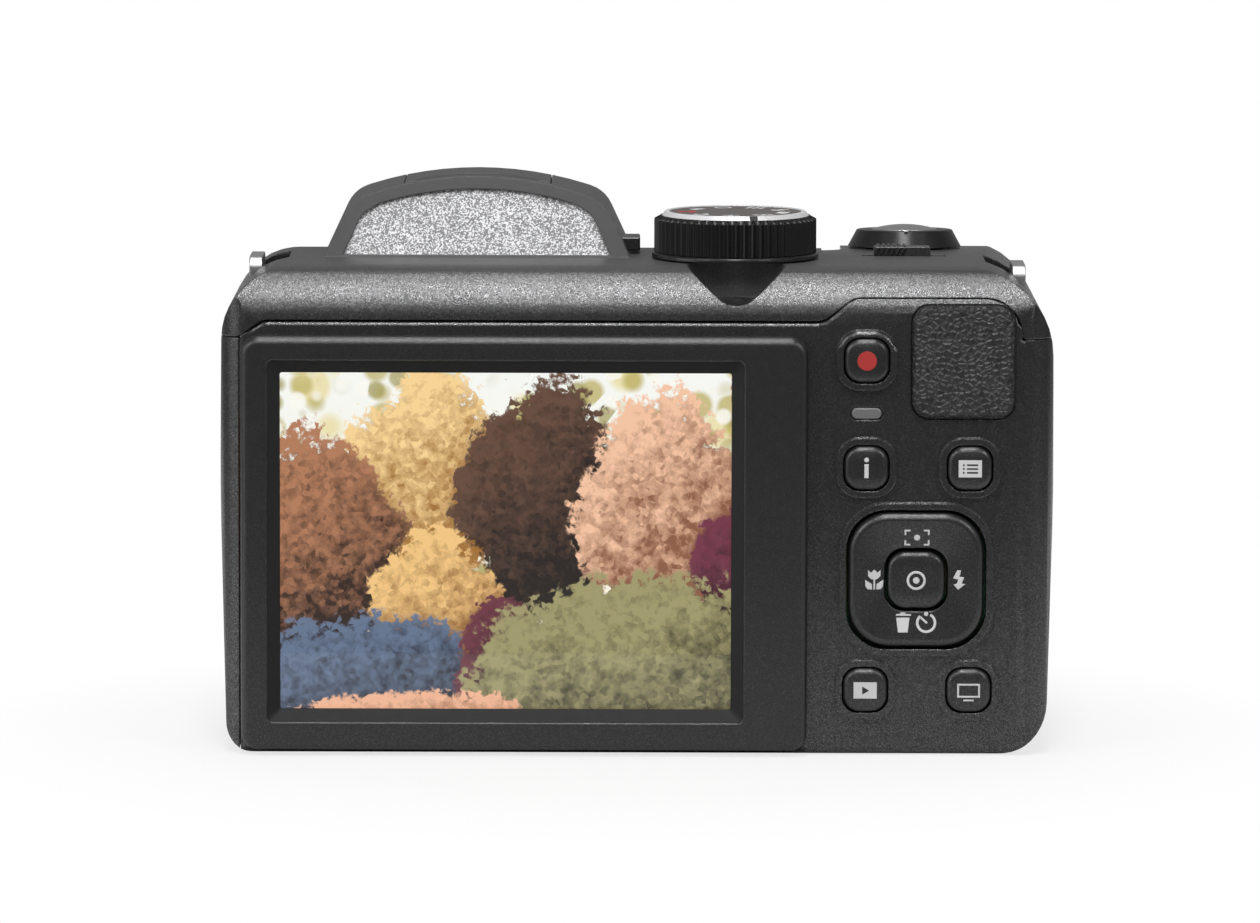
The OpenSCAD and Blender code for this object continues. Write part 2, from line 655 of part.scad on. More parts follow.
module key_board() {
    color([0.1, 0.35, 0.2]) {
        slab([bezel_x1 + 1.6, half_w - 5], [key_board_y, key_board_y + board_t], [4, seam_z - 2]);
        for (p = concat(button_places, [pad_p])) rod_y(p, 1.2, [key_board_y - switch_h, key_board_y]);
        for (d = [[1, 0], [-1, 0], [0, 1], [0, -1]])
            rod_y(pad_p + actuator_at * d, nub_r, [key_board_y - switch_h, key_board_y]);
        for (x = [pad_p.x - nub_at, pad_p.x + nub_at]) {
            rod_x([rock_y, pad_p.y], rock_r, [x - nub_r, x + nub_r]);
            rod_y([x, pad_p.y], rock_r, [rock_y, key_board_y]);
        }
    }
}

// Top controls.
dial_chamfer = 1.1;
plate_r = dial_r - 2.3;
module mode_dial() {
    color([0.06, 0.06, 0.06]) {
        difference() {
            intersection() {
                translate(dial_p) along_z(dial_z, dial_z + dial_h) polygon(ribs(dial_r, 0.35, 60));
                translate([dial_p.x, dial_p.y, dial_z]) rotate_extrude() polygon([[0, 0], [dial_r + 1, 0],
                    [dial_r + 1, dial_h - dial_chamfer - 0.6], [dial_r - dial_chamfer, dial_h], [0, dial_h]]);
            }
            rod_z(dial_p, plate_r + 0.8, [dial_z + dial_h - 0.5, far]);
        }
        rod_z(dial_p, dial_shaft_r, [body_h - 5.5, dial_z + 1]);
    }
}
module dial_ring() {
    color("silver") along_z(dial_z + dial_h - 0.5, dial_z + dial_h + 0.05) translate(dial_p)
        difference() { circle(plate_r + 0.8 - run_fit); circle(plate_r); }
}
module dial_plate() {
    color([0.3, 0.28, 0.26]) rod_z(dial_p, plate_r - run_fit,
        [dial_z + dial_h - 0.5, dial_z + dial_h - 0.05]);
}
module zoom_ring() {
    color([0.06, 0.06, 0.06]) on_slope(shutter_p) difference() {
        union() {
            translate([0, 0, 0.2]) cylinder(h = zoom_h, r1 = zoom_r, r2 = zoom_r - 1.3);
            rod_z([0, 0], hub_r, [-3.2, 1]);
            slab([-1.6, 1.6], [zoom_r - 2, zoom_r + 1.8], [0.5, zoom_h - 0.1]);
        }
        rod_z([0, 0], shutter_r + seat, [-far, far]);
    }
}
dome_r = 16;
module shutter_button() {
    color("silver") on_slope(shutter_p) {
        intersection() {
            rod_z([0, 0], shutter_r, [-1.5, zoom_h + 2]);
            translate([0, 0, zoom_h + 0.9 - dome_r]) sphere(dome_r);
        }
        rod_z([0, 0], 1.4, [-3.4, -1]);
    }
}
module release_board() {
    color([0.1, 0.35, 0.2]) on_slope(shutter_p) slab([-7, 8], [-5, 5], [release_z - 0.8, release_z]);
}
module power_slider() {
    color([0.12, 0.12, 0.12]) on_slope(slider_p) {
        slab([-slider_w / 2, slider_w / 2], [-slider_d / 2, slider_d / 2], [seat - slider_sink, slider_rise]);
        slab(slider_key, [-slot_d / 2 + 0.15, slot_d / 2 - 0.15], [-2.6, 0.5]);
        slab([slider_key[0] - 0.3, slider_key[1] + 0.3], [-2, 2], [-wall - seat - 0.9, -wall - seat]);
    }
}
module strap_lug(side, z) {
    color("silver") along_x(side * lug_x - lug_t / 2, side * lug_x + lug_t / 2)
        translate([(lug_y[0] + lug_y[1]) / 2, (z + lug_z[0]) / 2]) difference() {
            polygon(soft_rect(lug_y[1] - lug_y[0], z - lug_z[0], 1.6));
            translate([0, (z - lug_z[0]) / 2 - 2.5]) polygon(soft_rect(6, 2.2, 0.9));
        }
}
module strap_lug_left() { strap_lug(-1, lug_z[1]); }
module strap_lug_right() { strap_lug(1, lug_z[1] - lug_drop); }

// Pop-up flash: a crowned visor on a cross pin, with the lamp block hanging under it.
flash_block_y = hump_front - wall - 1.4;
flash_lamp_z = [pocket_floor + 1.6, flash_pivot.y - 0.5];
module flash_head() {
    w = flash_w / 2;
    color([0.16, 0.16, 0.17]) difference() {
        union() {
            intersection() {
                hump_form(0);
                slab([lens_x - w, lens_x + w], [-far, far], [flash_pivot.y - 0.05, far]);
                union() {
                    slab([-far, far], [flash_pivot.x, far], [-far, far]);
                    rod_x(flash_pivot, flash_back_r, [-far, far]);
                }
            }
            slab([lens_x - w + 1.5, lens_x + w - 1.5], [flash_pivot.x - 1, flash_block_y],
                [pocket_floor + 1, flash_pivot.y + 1]);
        }
        rod_x(flash_pivot, flash_pin_r + run_fit, [-far, far]);
        slab([lens_x - w + 3, lens_x + w - 3], [flash_block_y - 1, far], flash_lamp_z);
    }
}
module flash_window() {
    color([0.9, 0.9, 0.9]) slab([lens_x - flash_w / 2 + 3 + seat, lens_x + flash_w / 2 - 3 - seat],
        [flash_block_y - 1 + seat, flash_block_y - seat], [flash_lamp_z[0] + seat, flash_lamp_z[1] - seat]);
}
module flash_pin() {
    color("silver") rod_x(flash_pivot, flash_pin_r, [lens_x - flash_w / 2 - 2.2, lens_x + flash_w / 2 + 2.2]);
}
module flash_button() {
    color([0.14, 0.14, 0.14]) {
        slab([flash_button_x - flash_button_l, flash_button_x], flash_button_y, flash_button_z);
        slab([flash_button_x - flash_button_l, flash_button_x - flash_button_l + 0.8],
            [flash_button_y[0] - 0.8, flash_button_y[1] + 0.8], flash_button_z);
    }
}
module flash_capacitor() {
    color([0.1, 0.1, 0.3]) rod_z(cap_p, cap_r, [cover_floor + seat, cap_top]);
}
module speaker() {
    color([0.3, 0.3, 0.3]) rod_z([dial_p.x + 8.2, slope_y - 4], speaker_r,
        [body_h - wall - 3.2, body_h - wall - seat]);
}
module focus_lamp() { color([0.7, 0.3, 0.1]) rod_y(lamp_p, lamp_r, [inner_front, front_y + 0.4]); }

// Lens.
rear_glass_r = 7;
module lens_ring() {
    b = outer_r + barrel_gap;
    color([0.1, 0.1, 0.1]) turned_y(lens_p, [[b, front_y], [lens_r, front_y], [lens_r, ring_y - 1.4],
        [lens_r - 1.4, ring_y], [b, ring_y]]);
}
module lens_housing() {
    color([0.25, 0.25, 0.25]) {
        tube_y(lens_p, housing_r, housing_r - housing_t, [housing_y, front_y - seat]);
        tube_y(lens_p, housing_r - housing_t / 2, rear_glass_r, [housing_y, housing_y + housing_floor]);
    }
}
module cam_ring() {
    color("silver") tube_y(lens_p, cam_r, cam_r - cam_t,
        [housing_y + housing_floor + clear, front_y - clear]);
}
module outer_barrel() {
    color([0.09, 0.09, 0.09]) tube_y(lens_p, outer_r, outer_r - barrel_wall, outer_y);
}
zoom_web_at = 17;
zoom_web_t = 2;
zoom_web = [inner_y[0] + zoom_web_at, inner_y[0] + zoom_web_at + zoom_web_t];
zoom_glass_r = 13;
cell_l = 7;
cell_back = 2;
front_cell = [inner_y[1] - cell_back - cell_l, inner_y[1] - cell_back];
module inner_barrel() {
    b = inner_r - barrel_wall;
    color([0.09, 0.09, 0.09]) {
        tube_y(lens_p, inner_r, b, inner_y);
        tube_y(lens_p, b + 0.5, glass_r + seat, front_cell);
        tube_y(lens_p, b + 0.5, glass_r - 1.4, [front_cell[0] - 1, front_cell[0]]);
        tube_y(lens_p, b + 0.5, zoom_glass_r + seat, zoom_web);
    }
}
module front_ring() {
    b = inner_r - barrel_wall;
    y = front_cell[1] + seat;
    color([0.08, 0.08, 0.08]) turned_y(lens_p, [[glass_r - 0.8, y], [b - seat, y],
        [b - seat, inner_y[1] - 0.4], [b - 1.2, inner_y[1] - 0.4], [glass_r - 0.8, y + 0.8]]);
}
// Lens blank with a domed front, from its rim radius, rear plane, rim height and dome height.
module lens_blank(r, y, rim, dome) {
    n = 12;
    crown = [for (i = [0:n]) let (q = r * (1 - i / n)) [q, y + rim + dome * (1 - q * q / (r * r))]];
    turned_y(lens_p, concat([[0, y], [r, y]], crown));
}
module front_glass() { color([0.5, 0.6, 0.7]) lens_blank(glass_r, front_cell[0] + seat, 3, 3); }
module zoom_glass() { color([0.5, 0.6, 0.7]) lens_blank(zoom_glass_r, zoom_web[0] - 0.5, 2, 1.5); }
module rear_glass() {
    color([0.5, 0.6, 0.7]) rod_y(lens_p, rear_glass_r - seat, [housing_y + 0.2, housing_y + 3]);
}
module zoom_motor() {
    color([0.4, 0.4, 0.42]) rod_y(motor_p, motor_r, [housing_y + seat, inner_front - seat]);
}

// Inner frame and electronics.
module chassis() {
    color("silver") {
        difference() {
            slab([boss_x[0] - 2.5, motor_p.x + motor_r + 0.5], [chassis_y, housing_y],
                [boss_z[0] - 3, boss_z[1] + 2.4]);
            for (p = bosses) rod_y(p, screw_r + run_fit, [chassis_y - 1, housing_y + 1]);
            slab([lens_x - 6, lens_x + 6], [chassis_y - 1, housing_y + 1], [lens_z - 5, lens_z + 5]);
        }
        for (p = board_posts) rod_y(p, boss_r, [main_board_y + board_t, chassis_y]);
    }
}
module image_sensor() {
    color([0.2, 0.3, 0.5]) slab([lens_x - 4, lens_x + 4], [chassis_y, chassis_y + 0.9],
        [lens_z - 3, lens_z + 3]);
}
module sensor_board() {
    color([0.1, 0.35, 0.2]) slab([lens_x - 9, lens_x + 9], [chassis_y - board_t, chassis_y],
        [lens_z - 8, lens_z + 8]);
}
module main_board() {
    color([0.1, 0.4, 0.2]) slab([lens_x - 26, port_in - port_pad - clear],
        [main_board_y, main_board_y + board_t], [boss_z[0] - 1, boss_z[1] + 1]);
}
module data_socket() {
    color("silver") difference() {
        slab(data_x, data_y, data_z);
        slab([data_x[0] + 1, far], [data_y[0] + 0.4, data_y[1] - 0.4], [data_z[0] + 0.4, data_z[1] - 0.4]);
    }
}
module screws() {
    color("silver") {
        for (p = bosses) {
            rod_y(p, head_r, [chassis_y - head_h, chassis_y]);
            rod_y(p, screw_r, [chassis_y - 0.1, housing_y + post_h - 1]);
        }
        for (p = base_screws) {
            rod_z(p, head_r, [0.2, head_h + 0.2]);
            rod_z(p, screw_r, [0.3, post_h - 1.5]);
        }
    }
}
module tripod_socket() {
    color("gold") difference() {
        rod_z([0, 0], insert_r, [0, insert_top]);
        rod_z([0, 0], tripod_r, [-1, tripod_l]);
    }
}

// Battery bay in the grip.
bay_top = cell_z[1] + 1.2;
card_y = [cell_y[0] + 2, cell_y[0] + 26];
card_z = [2.8, 34.8];
module battery_box() {
    x = [cell_x[0] - seat - box_t, cell_x[1] + seat + box_t];
    y = [cell_y[0] - seat - box_t, cell_y[1] + seat + box_t];
    sx = [card_x[0] - seat - 0.7, x[0] + 0.2];
    color([0.2, 0.2, 0.2]) {
        difference() {
            union() {
                slab(x, y, [wall + seat + 0.9, bay_top]);
                slab(sx, [card_y[0] - 1, card_y[1] + 1], [card_z[0], card_z[1] + 1]);
                slab([x[0] + 2, x[1] - 2], [y[0] - 2.8, y[0] + 0.5], [wall + seat, wall + 3]);
            }
            slab([cell_x[0] - seat, cell_x[1] + seat], [cell_y[0] - seat, cell_y[1] + seat],
                [-1, cell_z[1] + seat]);
            slab([card_x[0] - seat, card_x[1] + seat], [card_y[0] - seat, card_y[1] + seat],
                [-1, card_z[1] + seat]);
        }
    }
}
module battery() { color([0.2, 0.2, 0.22]) slab(cell_x, cell_y, cell_z); }
module memory_card() { color([0.15, 0.2, 0.35]) slab(card_x, card_y, card_z); }
latch_x = [door_x[1] - 4.4, door_x[1] - 1.4];
latch_travel = 1.6;
module battery_door() {
    color([0.15, 0.15, 0.16]) difference() {
        union() {
            slab([door_pin.x, door_x[1]], door_y, door_z);
            rod_y(door_pin, knuckle_r, door_y);
        }
        rod_y(door_pin, door_pin_r + run_fit, [-far, far]);
        slab([latch_x[0] - latch_travel - clear, latch_x[1] + clear],
            [latch_y - 3 - key_gap, latch_y + 3 + key_gap], [-1, 3]);
    }
}
module battery_pin() {
    color("silver") rod_y(door_pin, door_pin_r, [door_y[0] - clear - 0.8, door_y[1] + clear + 0.8]);
}
module battery_latch() {
    color([0.12, 0.12, 0.12]) {
        slab(latch_x, [latch_y - 3, latch_y + 3], [door_z[0], door_z[1] + 0.5]);
        slab([latch_x[0] - 1, latch_x[1]], [latch_y - 4, latch_y + 4], [door_z[1] + seat, door_z[1] + 0.6]);
    }
}
module port_cover() {
    color([0.14, 0.14, 0.14]) difference() {
        union() {
            slab([port_in, port_out], [port_y[0], port_pin.y], port_z);
            rod_z(port_pin, port_out - port_pin.x, port_z);
            rod_x([port_y[0] + 2.4, port_z[1] - 1.3], 1.1, [port_out - 0.3, port_out + 0.5]);
        }
        rod_z(port_pin, port_pin_r + run_fit, [-far, far]);
    }
}
module port_pin_rod() {
    color("silver") rod_z(port_pin, port_pin_r, [port_z[0] - clear - 0.8, port_z[1] + clear + 0.8]);
}

front_cover();
rear_cover();
top_cover();
grip_skin();
thumb_pad();
screen_bezel();
screen_window();
screen_panel();
record_button();
info_button();
menu_button();
play_button();
display_button();
status_light();
four_way_pad();
pad_pivot_ring();
set_button();
key_board();
mode_dial();
dial_ring();
dial_plate();
zoom_ring();
shutter_button();
release_board();
power_slider();
strap_lug_left();
strap_lug_right();
flash_head();
flash_window();
flash_pin();
flash_button();
flash_capacitor();
speaker();
focus_lamp();
lens_ring();
lens_housing();
cam_ring();
outer_barrel();
inner_barrel();
front_ring();
front_glass();
zoom_glass();
rear_glass();
zoom_motor();
chassis();
image_sensor();
sensor_board();
main_board();
data_socket();
screws();
tripod_socket();
battery_box();
battery();
memory_card();
battery_door();
battery_pin();
battery_latch();
port_cover();
port_pin_rod();
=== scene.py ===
import json
import math

import bmesh
import bpy
from mathutils import Matrix, Vector


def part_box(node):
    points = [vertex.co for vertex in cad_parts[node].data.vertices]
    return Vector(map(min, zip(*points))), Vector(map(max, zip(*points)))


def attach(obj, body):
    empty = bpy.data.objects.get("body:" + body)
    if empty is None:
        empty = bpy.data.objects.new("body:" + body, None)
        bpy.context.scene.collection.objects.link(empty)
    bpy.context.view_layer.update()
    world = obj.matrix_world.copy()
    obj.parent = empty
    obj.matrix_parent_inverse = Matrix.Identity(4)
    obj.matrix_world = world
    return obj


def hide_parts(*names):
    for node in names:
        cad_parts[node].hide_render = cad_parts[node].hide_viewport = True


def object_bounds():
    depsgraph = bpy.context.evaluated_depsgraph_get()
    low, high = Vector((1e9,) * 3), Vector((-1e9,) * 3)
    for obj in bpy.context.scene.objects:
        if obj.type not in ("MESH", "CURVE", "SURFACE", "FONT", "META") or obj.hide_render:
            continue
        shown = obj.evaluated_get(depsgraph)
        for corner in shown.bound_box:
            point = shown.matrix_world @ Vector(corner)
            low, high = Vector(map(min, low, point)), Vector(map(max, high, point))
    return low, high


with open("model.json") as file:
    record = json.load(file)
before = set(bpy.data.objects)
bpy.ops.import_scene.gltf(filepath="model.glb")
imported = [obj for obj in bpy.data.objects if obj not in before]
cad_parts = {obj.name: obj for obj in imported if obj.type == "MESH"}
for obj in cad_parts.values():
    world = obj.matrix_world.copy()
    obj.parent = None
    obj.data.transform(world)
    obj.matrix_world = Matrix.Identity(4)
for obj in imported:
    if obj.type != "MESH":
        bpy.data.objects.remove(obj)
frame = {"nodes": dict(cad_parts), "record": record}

# Bridge camera seen from behind. Metres, +X right, +Y out of the lens, +Z up.
cad_box = [list(corner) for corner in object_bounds()]
MM = 0.001
COOL = 1.02


# Shader maths

class Wire:
    """A shader value. Arithmetic on it adds Math nodes to its material."""

    def __init__(self, paint, socket):
        self.paint = paint
        self.socket = socket

    def math(self, operation, *values):
        return self.paint.node("ShaderNodeMath", {"operation": operation}, dict(enumerate(values)))

    def __add__(self, other):
        return self.math("ADD", self, other)

    def __sub__(self, other):
        return self.math("SUBTRACT", self, other)

    def __rsub__(self, other):
        return self.math("SUBTRACT", other, self)

    def __mul__(self, other):
        return self.math("MULTIPLY", self, other)

    def __truediv__(self, other):
        return self.math("DIVIDE", self, other)

    def __gt__(self, other):
        return self.math("GREATER_THAN", self, other)

    __radd__ = __add__
    __rmul__ = __mul__

    def clamp(self):
        return self.math("MINIMUM", self.math("MAXIMUM", self, 0.0), 1.0)


class Tree:
    """A node tree. node() adds any node: its settings first, then its inputs."""

    def __init__(self, tree):
        self.tree = tree

    def node(self, kind, settings=None, inputs=None, out=0):
        made = self.tree.nodes.new(kind)
        for key, value in (settings or {}).items():
            setattr(made, key, value)
        for key, value in (inputs or {}).items():
            self.feed(made.inputs[key], value)
        return Wire(self, made.outputs[out])

    def feed(self, socket, value):
        if isinstance(value, Wire):
            self.tree.links.new(value.socket, socket)
        elif socket.type == "RGBA":
            socket.default_value = full(value)
        else:
            socket.default_value = value

    def outputs(self, kind, inputs=None):
        made = self.node(kind, inputs=inputs).socket.node
        return {out.name: Wire(self, out) for out in made.outputs}


class Paint(Tree):
    """One material: a Principled surface and the nodes that feed it."""

    SLANT = (0.6, 0.4, 0.9)
    EDGE_SAMPLES = 6

    def __init__(self, name, color, roughness, **sockets):
        self.material = bpy.data.materials.new(name)
        self.material.use_nodes = True
        super().__init__(self.material.node_tree)
        self.shader = self.tree.nodes["Principled BSDF"]
        self.set("Base Color", color)
        self.set("Roughness", roughness)
        for key, value in sockets.items():
            self.set(key.replace("_", " "), value)

    def set(self, key, value):
        self.feed(self.shader.inputs[key], value)

    def place(self):
        return self.node("ShaderNodeTexCoord", out="Object")

    def axes(self):
        return self.outputs("ShaderNodeSeparateXYZ", {0: self.place()}).values()

    def turned(self):
        """Object coordinates on a slant, so that flat faces don't lie along a pattern's grid."""
        inputs = {"Vector": self.place(), "Rotation": self.SLANT}
        return self.node("ShaderNodeMapping", inputs=inputs)

    def grain(self, scale, detail=2.0, rough=0.6):
        return self.node("ShaderNodeTexNoise", inputs={
            "Vector": self.turned(), "Scale": scale, "Detail": detail, "Roughness": rough})

    def cells(self, scale, feature="F1", out="Distance"):
        inputs = {"Vector": self.place(), "Scale": scale}
        return self.node("ShaderNodeTexVoronoi", {"feature": feature}, inputs, out)

    def chance(self, scale):
        """A random value for each cell."""
        return self.node("ShaderNodeSeparateColor", inputs={0: self.cells(scale, out="Color")})

    def mix(self, factor, a, b):
        return self.node("ShaderNodeMix", {"data_type": "RGBA"}, {0: factor, 6: a, 7: b}, 2)

    def bump(self, height, strength, depth, round_edges=0.0):
        inputs = {"Height": height, "Strength": strength, "Distance": depth}
        if round_edges:
            settings = {"samples": self.EDGE_SAMPLES}
            inputs["Normal"] = self.node("ShaderNodeBevel", settings, {"Radius": round_edges})
        self.set("Normal", self.node("ShaderNodeBump", inputs=inputs))


def full(color):
    return tuple(color) if len(color) == 4 else (*color, 1.0)


def grey(value):
    return (value, value, value * COOL)


# Finishes

DECK_FROM = 65.1 * MM
# Grey above the deck: partly a real satin finish, partly painted light on the top faces
SATIN_PAINTED_LIGHT_GREY = 0.044
SATIN_FADE = 0.8 * MM
SATIN_HIDES = 0.9
SATIN_DULLS = 0.2


def sparkle_plastic(name, base, flake, share, rough, edge=0.25 * MM, grains=14000.0,
                    metallic=1.0, gleam=0.5, satin_painted_lighter_above=None):
    """Moulded plastic with a share of fine silver flakes. Above a height it is a duller satin with
    few flakes, painted a lighter grey there as painted light on the top.
    """
    paint = Paint(name, grey(base), rough, Specular_IOR_Level=gleam)
    mask = paint.chance(grains) > 1.0 - share
    ground = grey(base)
    if satin_painted_lighter_above:
        _, _, z = paint.axes()
        satin_and_painted_light = ((z - satin_painted_lighter_above) / SATIN_FADE).clamp()
        mask = mask * (1.0 - SATIN_HIDES * satin_and_painted_light)
        # Painted light: the ground turns a lighter grey above the deck height
        ground = paint.mix(satin_and_painted_light, ground, grey(SATIN_PAINTED_LIGHT_GREY))
        rough = rough + SATIN_DULLS * satin_and_painted_light
    paint.set("Base Color", paint.mix(mask, ground, grey(flake)))
    paint.set("Metallic", mask * metallic)
    paint.set("Roughness", rough + 0.12 * paint.grain(900.0))
    pores = paint.grain(6500.0, detail=1.0)
    paint.bump(pores, strength=0.3, depth=0.08 * MM, round_edges=edge)
    return paint.material


def leather_rubber(name, base, cell=1250.0):
    """Moulded rubber with a leather grain of rounded cells and fine cracks; the cracks are painted
    darker as shade.
    """
    paint = Paint(name, grey(base), 0.42, Specular_IOR_Level=0.5)
    crack = paint.cells(cell, "DISTANCE_TO_EDGE")
    rise = (crack * 3.2).clamp() + 0.25 * paint.grain(2600.0)
    # Painted shade: the cracks are coloured at half the grey
    paint.set("Base Color", paint.mix((crack * 6.0).clamp(), grey(base * 0.5), grey(base)))
    paint.bump(rise, strength=0.55, depth=0.3 * MM, round_edges=0.2 * MM)
    return paint.material


def gloss_plastic(name, base, rough):
    """Smooth black plastic with faint smears."""
    paint = Paint(name, grey(base), rough, Specular_IOR_Level=0.45)
    smear = paint.grain(350.0, detail=3.0)
    paint.set("Roughness", rough + 0.1 * smear)
    paint.bump(paint.grain(1800.0), strength=0.06, depth=0.1 * MM, round_edges=0.15 * MM)
    return paint.material


def metal(name, base, rough):
    """Satin metal with a fine mottle."""
    paint = Paint(name, grey(base), rough, Metallic=1.0)
    mottle = paint.grain(1200.0, detail=3.0)
    paint.set("Roughness", rough + 0.12 * mottle)
    paint.set("Base Color", paint.mix(mottle, grey(base * 0.88), grey(base)))
    paint.bump(mottle, strength=0.05, depth=0.1 * MM, round_edges=0.2 * MM)
    return paint.material


def tinted(name, color, rough, **sockets):
    """Plain moulded or printed piece with a slight mottle of its own colour."""
    paint = Paint(name, color, rough, **sockets)
    mottle = paint.grain(700.0, detail=3.0)
    paint.set("Base Color", paint.mix(mottle, [0.86 * part for part in color], color))
    paint.set("Roughness", rough + 0.08 * mottle)
    paint.bump(paint.grain(2400.0), strength=0.05, depth=0.1 * MM, round_edges=0.12 * MM)
    return paint.material


def circuit_board(name):
    """Green board with gold traces."""
    green, pale, gold = (0.02, 0.13, 0.06), (0.03, 0.17, 0.08), (0.30, 0.24, 0.08)
    paint = Paint(name, green, 0.4)
    paint.set("Base Color", paint.node("ShaderNodeTexBrick", inputs={
        "Vector": paint.place(), "Scale": 220.0, "Mortar Size": 0.03,
        "Color1": green, "Color2": pale, "Mortar": gold}))
    paint.bump(paint.grain(1500.0), strength=0.1, depth=0.1 * MM)
    return paint.material


def clear_glass(name, tint, ior, gleam=(1.0, 1.0, 1.0)):
    """Polished glass; gleam is the colour of its coating."""
    paint = Paint(name, tint, 0.02, IOR=ior, Transmission_Weight=1.0, Specular_Tint=gleam)
    paint.set("Roughness", 0.015 + 0.01 * paint.grain(300.0))
    return paint.material


# Blurred leaves in front of the sky: cells per metre, share left clear, colour
BLURRED_LEAVES = (
    (150.0, 0.28, (0.82, 0.72, 0.36)),
    (210.0, 0.40, (0.52, 0.44, 0.12)),
    (290.0, 0.45, (0.40, 0.36, 0.12)),
    (330.0, 0.55, (0.97, 0.96, 0.88)),
)
# Trees and shrubs from back to front, in shares of the picture: across, up, half width,
# half height, how crisp the outline is, dark colour, lit colour
GROVE = (
    (0.52, 0.60, 0.80, 0.17, 4.0, (0.30, 0.24, 0.08), (0.74, 0.66, 0.34)),
    (0.985, 0.75, 0.026, 0.60, 12.0, (0.10, 0.045, 0.025), (0.36, 0.20, 0.13)),
    (0.34, 0.62, 0.19, 0.33, 9.0, (0.36, 0.16, 0.03), (0.93, 0.66, 0.30)),
    (0.58, 0.60, 0.18, 0.33, 9.0, (0.012, 0.007, 0.005), (0.13, 0.065, 0.04)),
    (0.83, 0.57, 0.18, 0.34, 9.0, (0.26, 0.10, 0.05), (0.90, 0.55, 0.36)),
    (1.00, 0.40, 0.12, 0.20, 9.0, (0.035, 0.006, 0.012), (0.17, 0.03, 0.06)),
    (0.10, 0.43, 0.20, 0.34, 9.0, (0.025, 0.010, 0.006), (0.45, 0.20, 0.10)),
    (0.36, 0.30, 0.14, 0.22, 9.0, (0.30, 0.13, 0.03), (0.88, 0.56, 0.22)),
    (0.20, 0.08, 0.28, 0.22, 9.0, (0.010, 0.014, 0.028), (0.12, 0.17, 0.27)),
    (0.50, 0.10, 0.10, 0.24, 9.0, (0.020, 0.004, 0.008), (0.15, 0.03, 0.05)),
    (0.80, 0.10, 0.36, 0.30, 9.0, (0.055, 0.05, 0.016), (0.34, 0.31, 0.14)),
    (0.30, -0.04, 0.36, 0.13, 9.0, (0.30, 0.11, 0.05), (0.84, 0.45, 0.28)),
)


def screen_picture(name, low, high):
    """Lit picture of an autumn grove: pale sky, blurred leaves, then trees and shrubs."""
    paint = Paint(name, grey(0.004), 0.35)
    x, _, z = paint.axes()
    u = (x - low.x) / (high.x - low.x)
    v = (z - low.z) / (high.z - low.z)
    soft = paint.grain(70.0, detail=3.0, rough=0.5) - 0.5
    leaf = paint.grain(460.0, detail=7.0, rough=0.72) - 0.5
    dab = paint.chance(1300.0) - 0.5
    color = paint.mix(v, (0.92, 0.84, 0.62), (0.93, 0.95, 0.92))
    for scale, share, light in BLURRED_LEAVES:
        spot = ((0.46 - paint.cells(scale)) * 7.0).clamp()
        chosen = ((paint.chance(scale) + 0.5 * soft - share) * 5.0).clamp()
        color = paint.mix(spot * chosen * 0.85, color, light)
    for across, up, width, height, crisp, dark, lit in GROVE:
        dx = (u - across) / width
        dz = (v - up) / height
        inside = 1.0 - dx * dx - dz * dz + 1.2 * leaf + 2.0 * soft + 0.25 * dab
        shade = 0.40 + 0.58 * dz - 0.28 * dx + 2.2 * leaf + 0.8 * soft + 0.5 * dab
        color = paint.mix((inside * crisp).clamp(), color, paint.mix(shade.clamp(), dark, lit))
    paint.set("Emission Color", color)
    paint.set("Emission Strength", 1.0)
    return paint.material


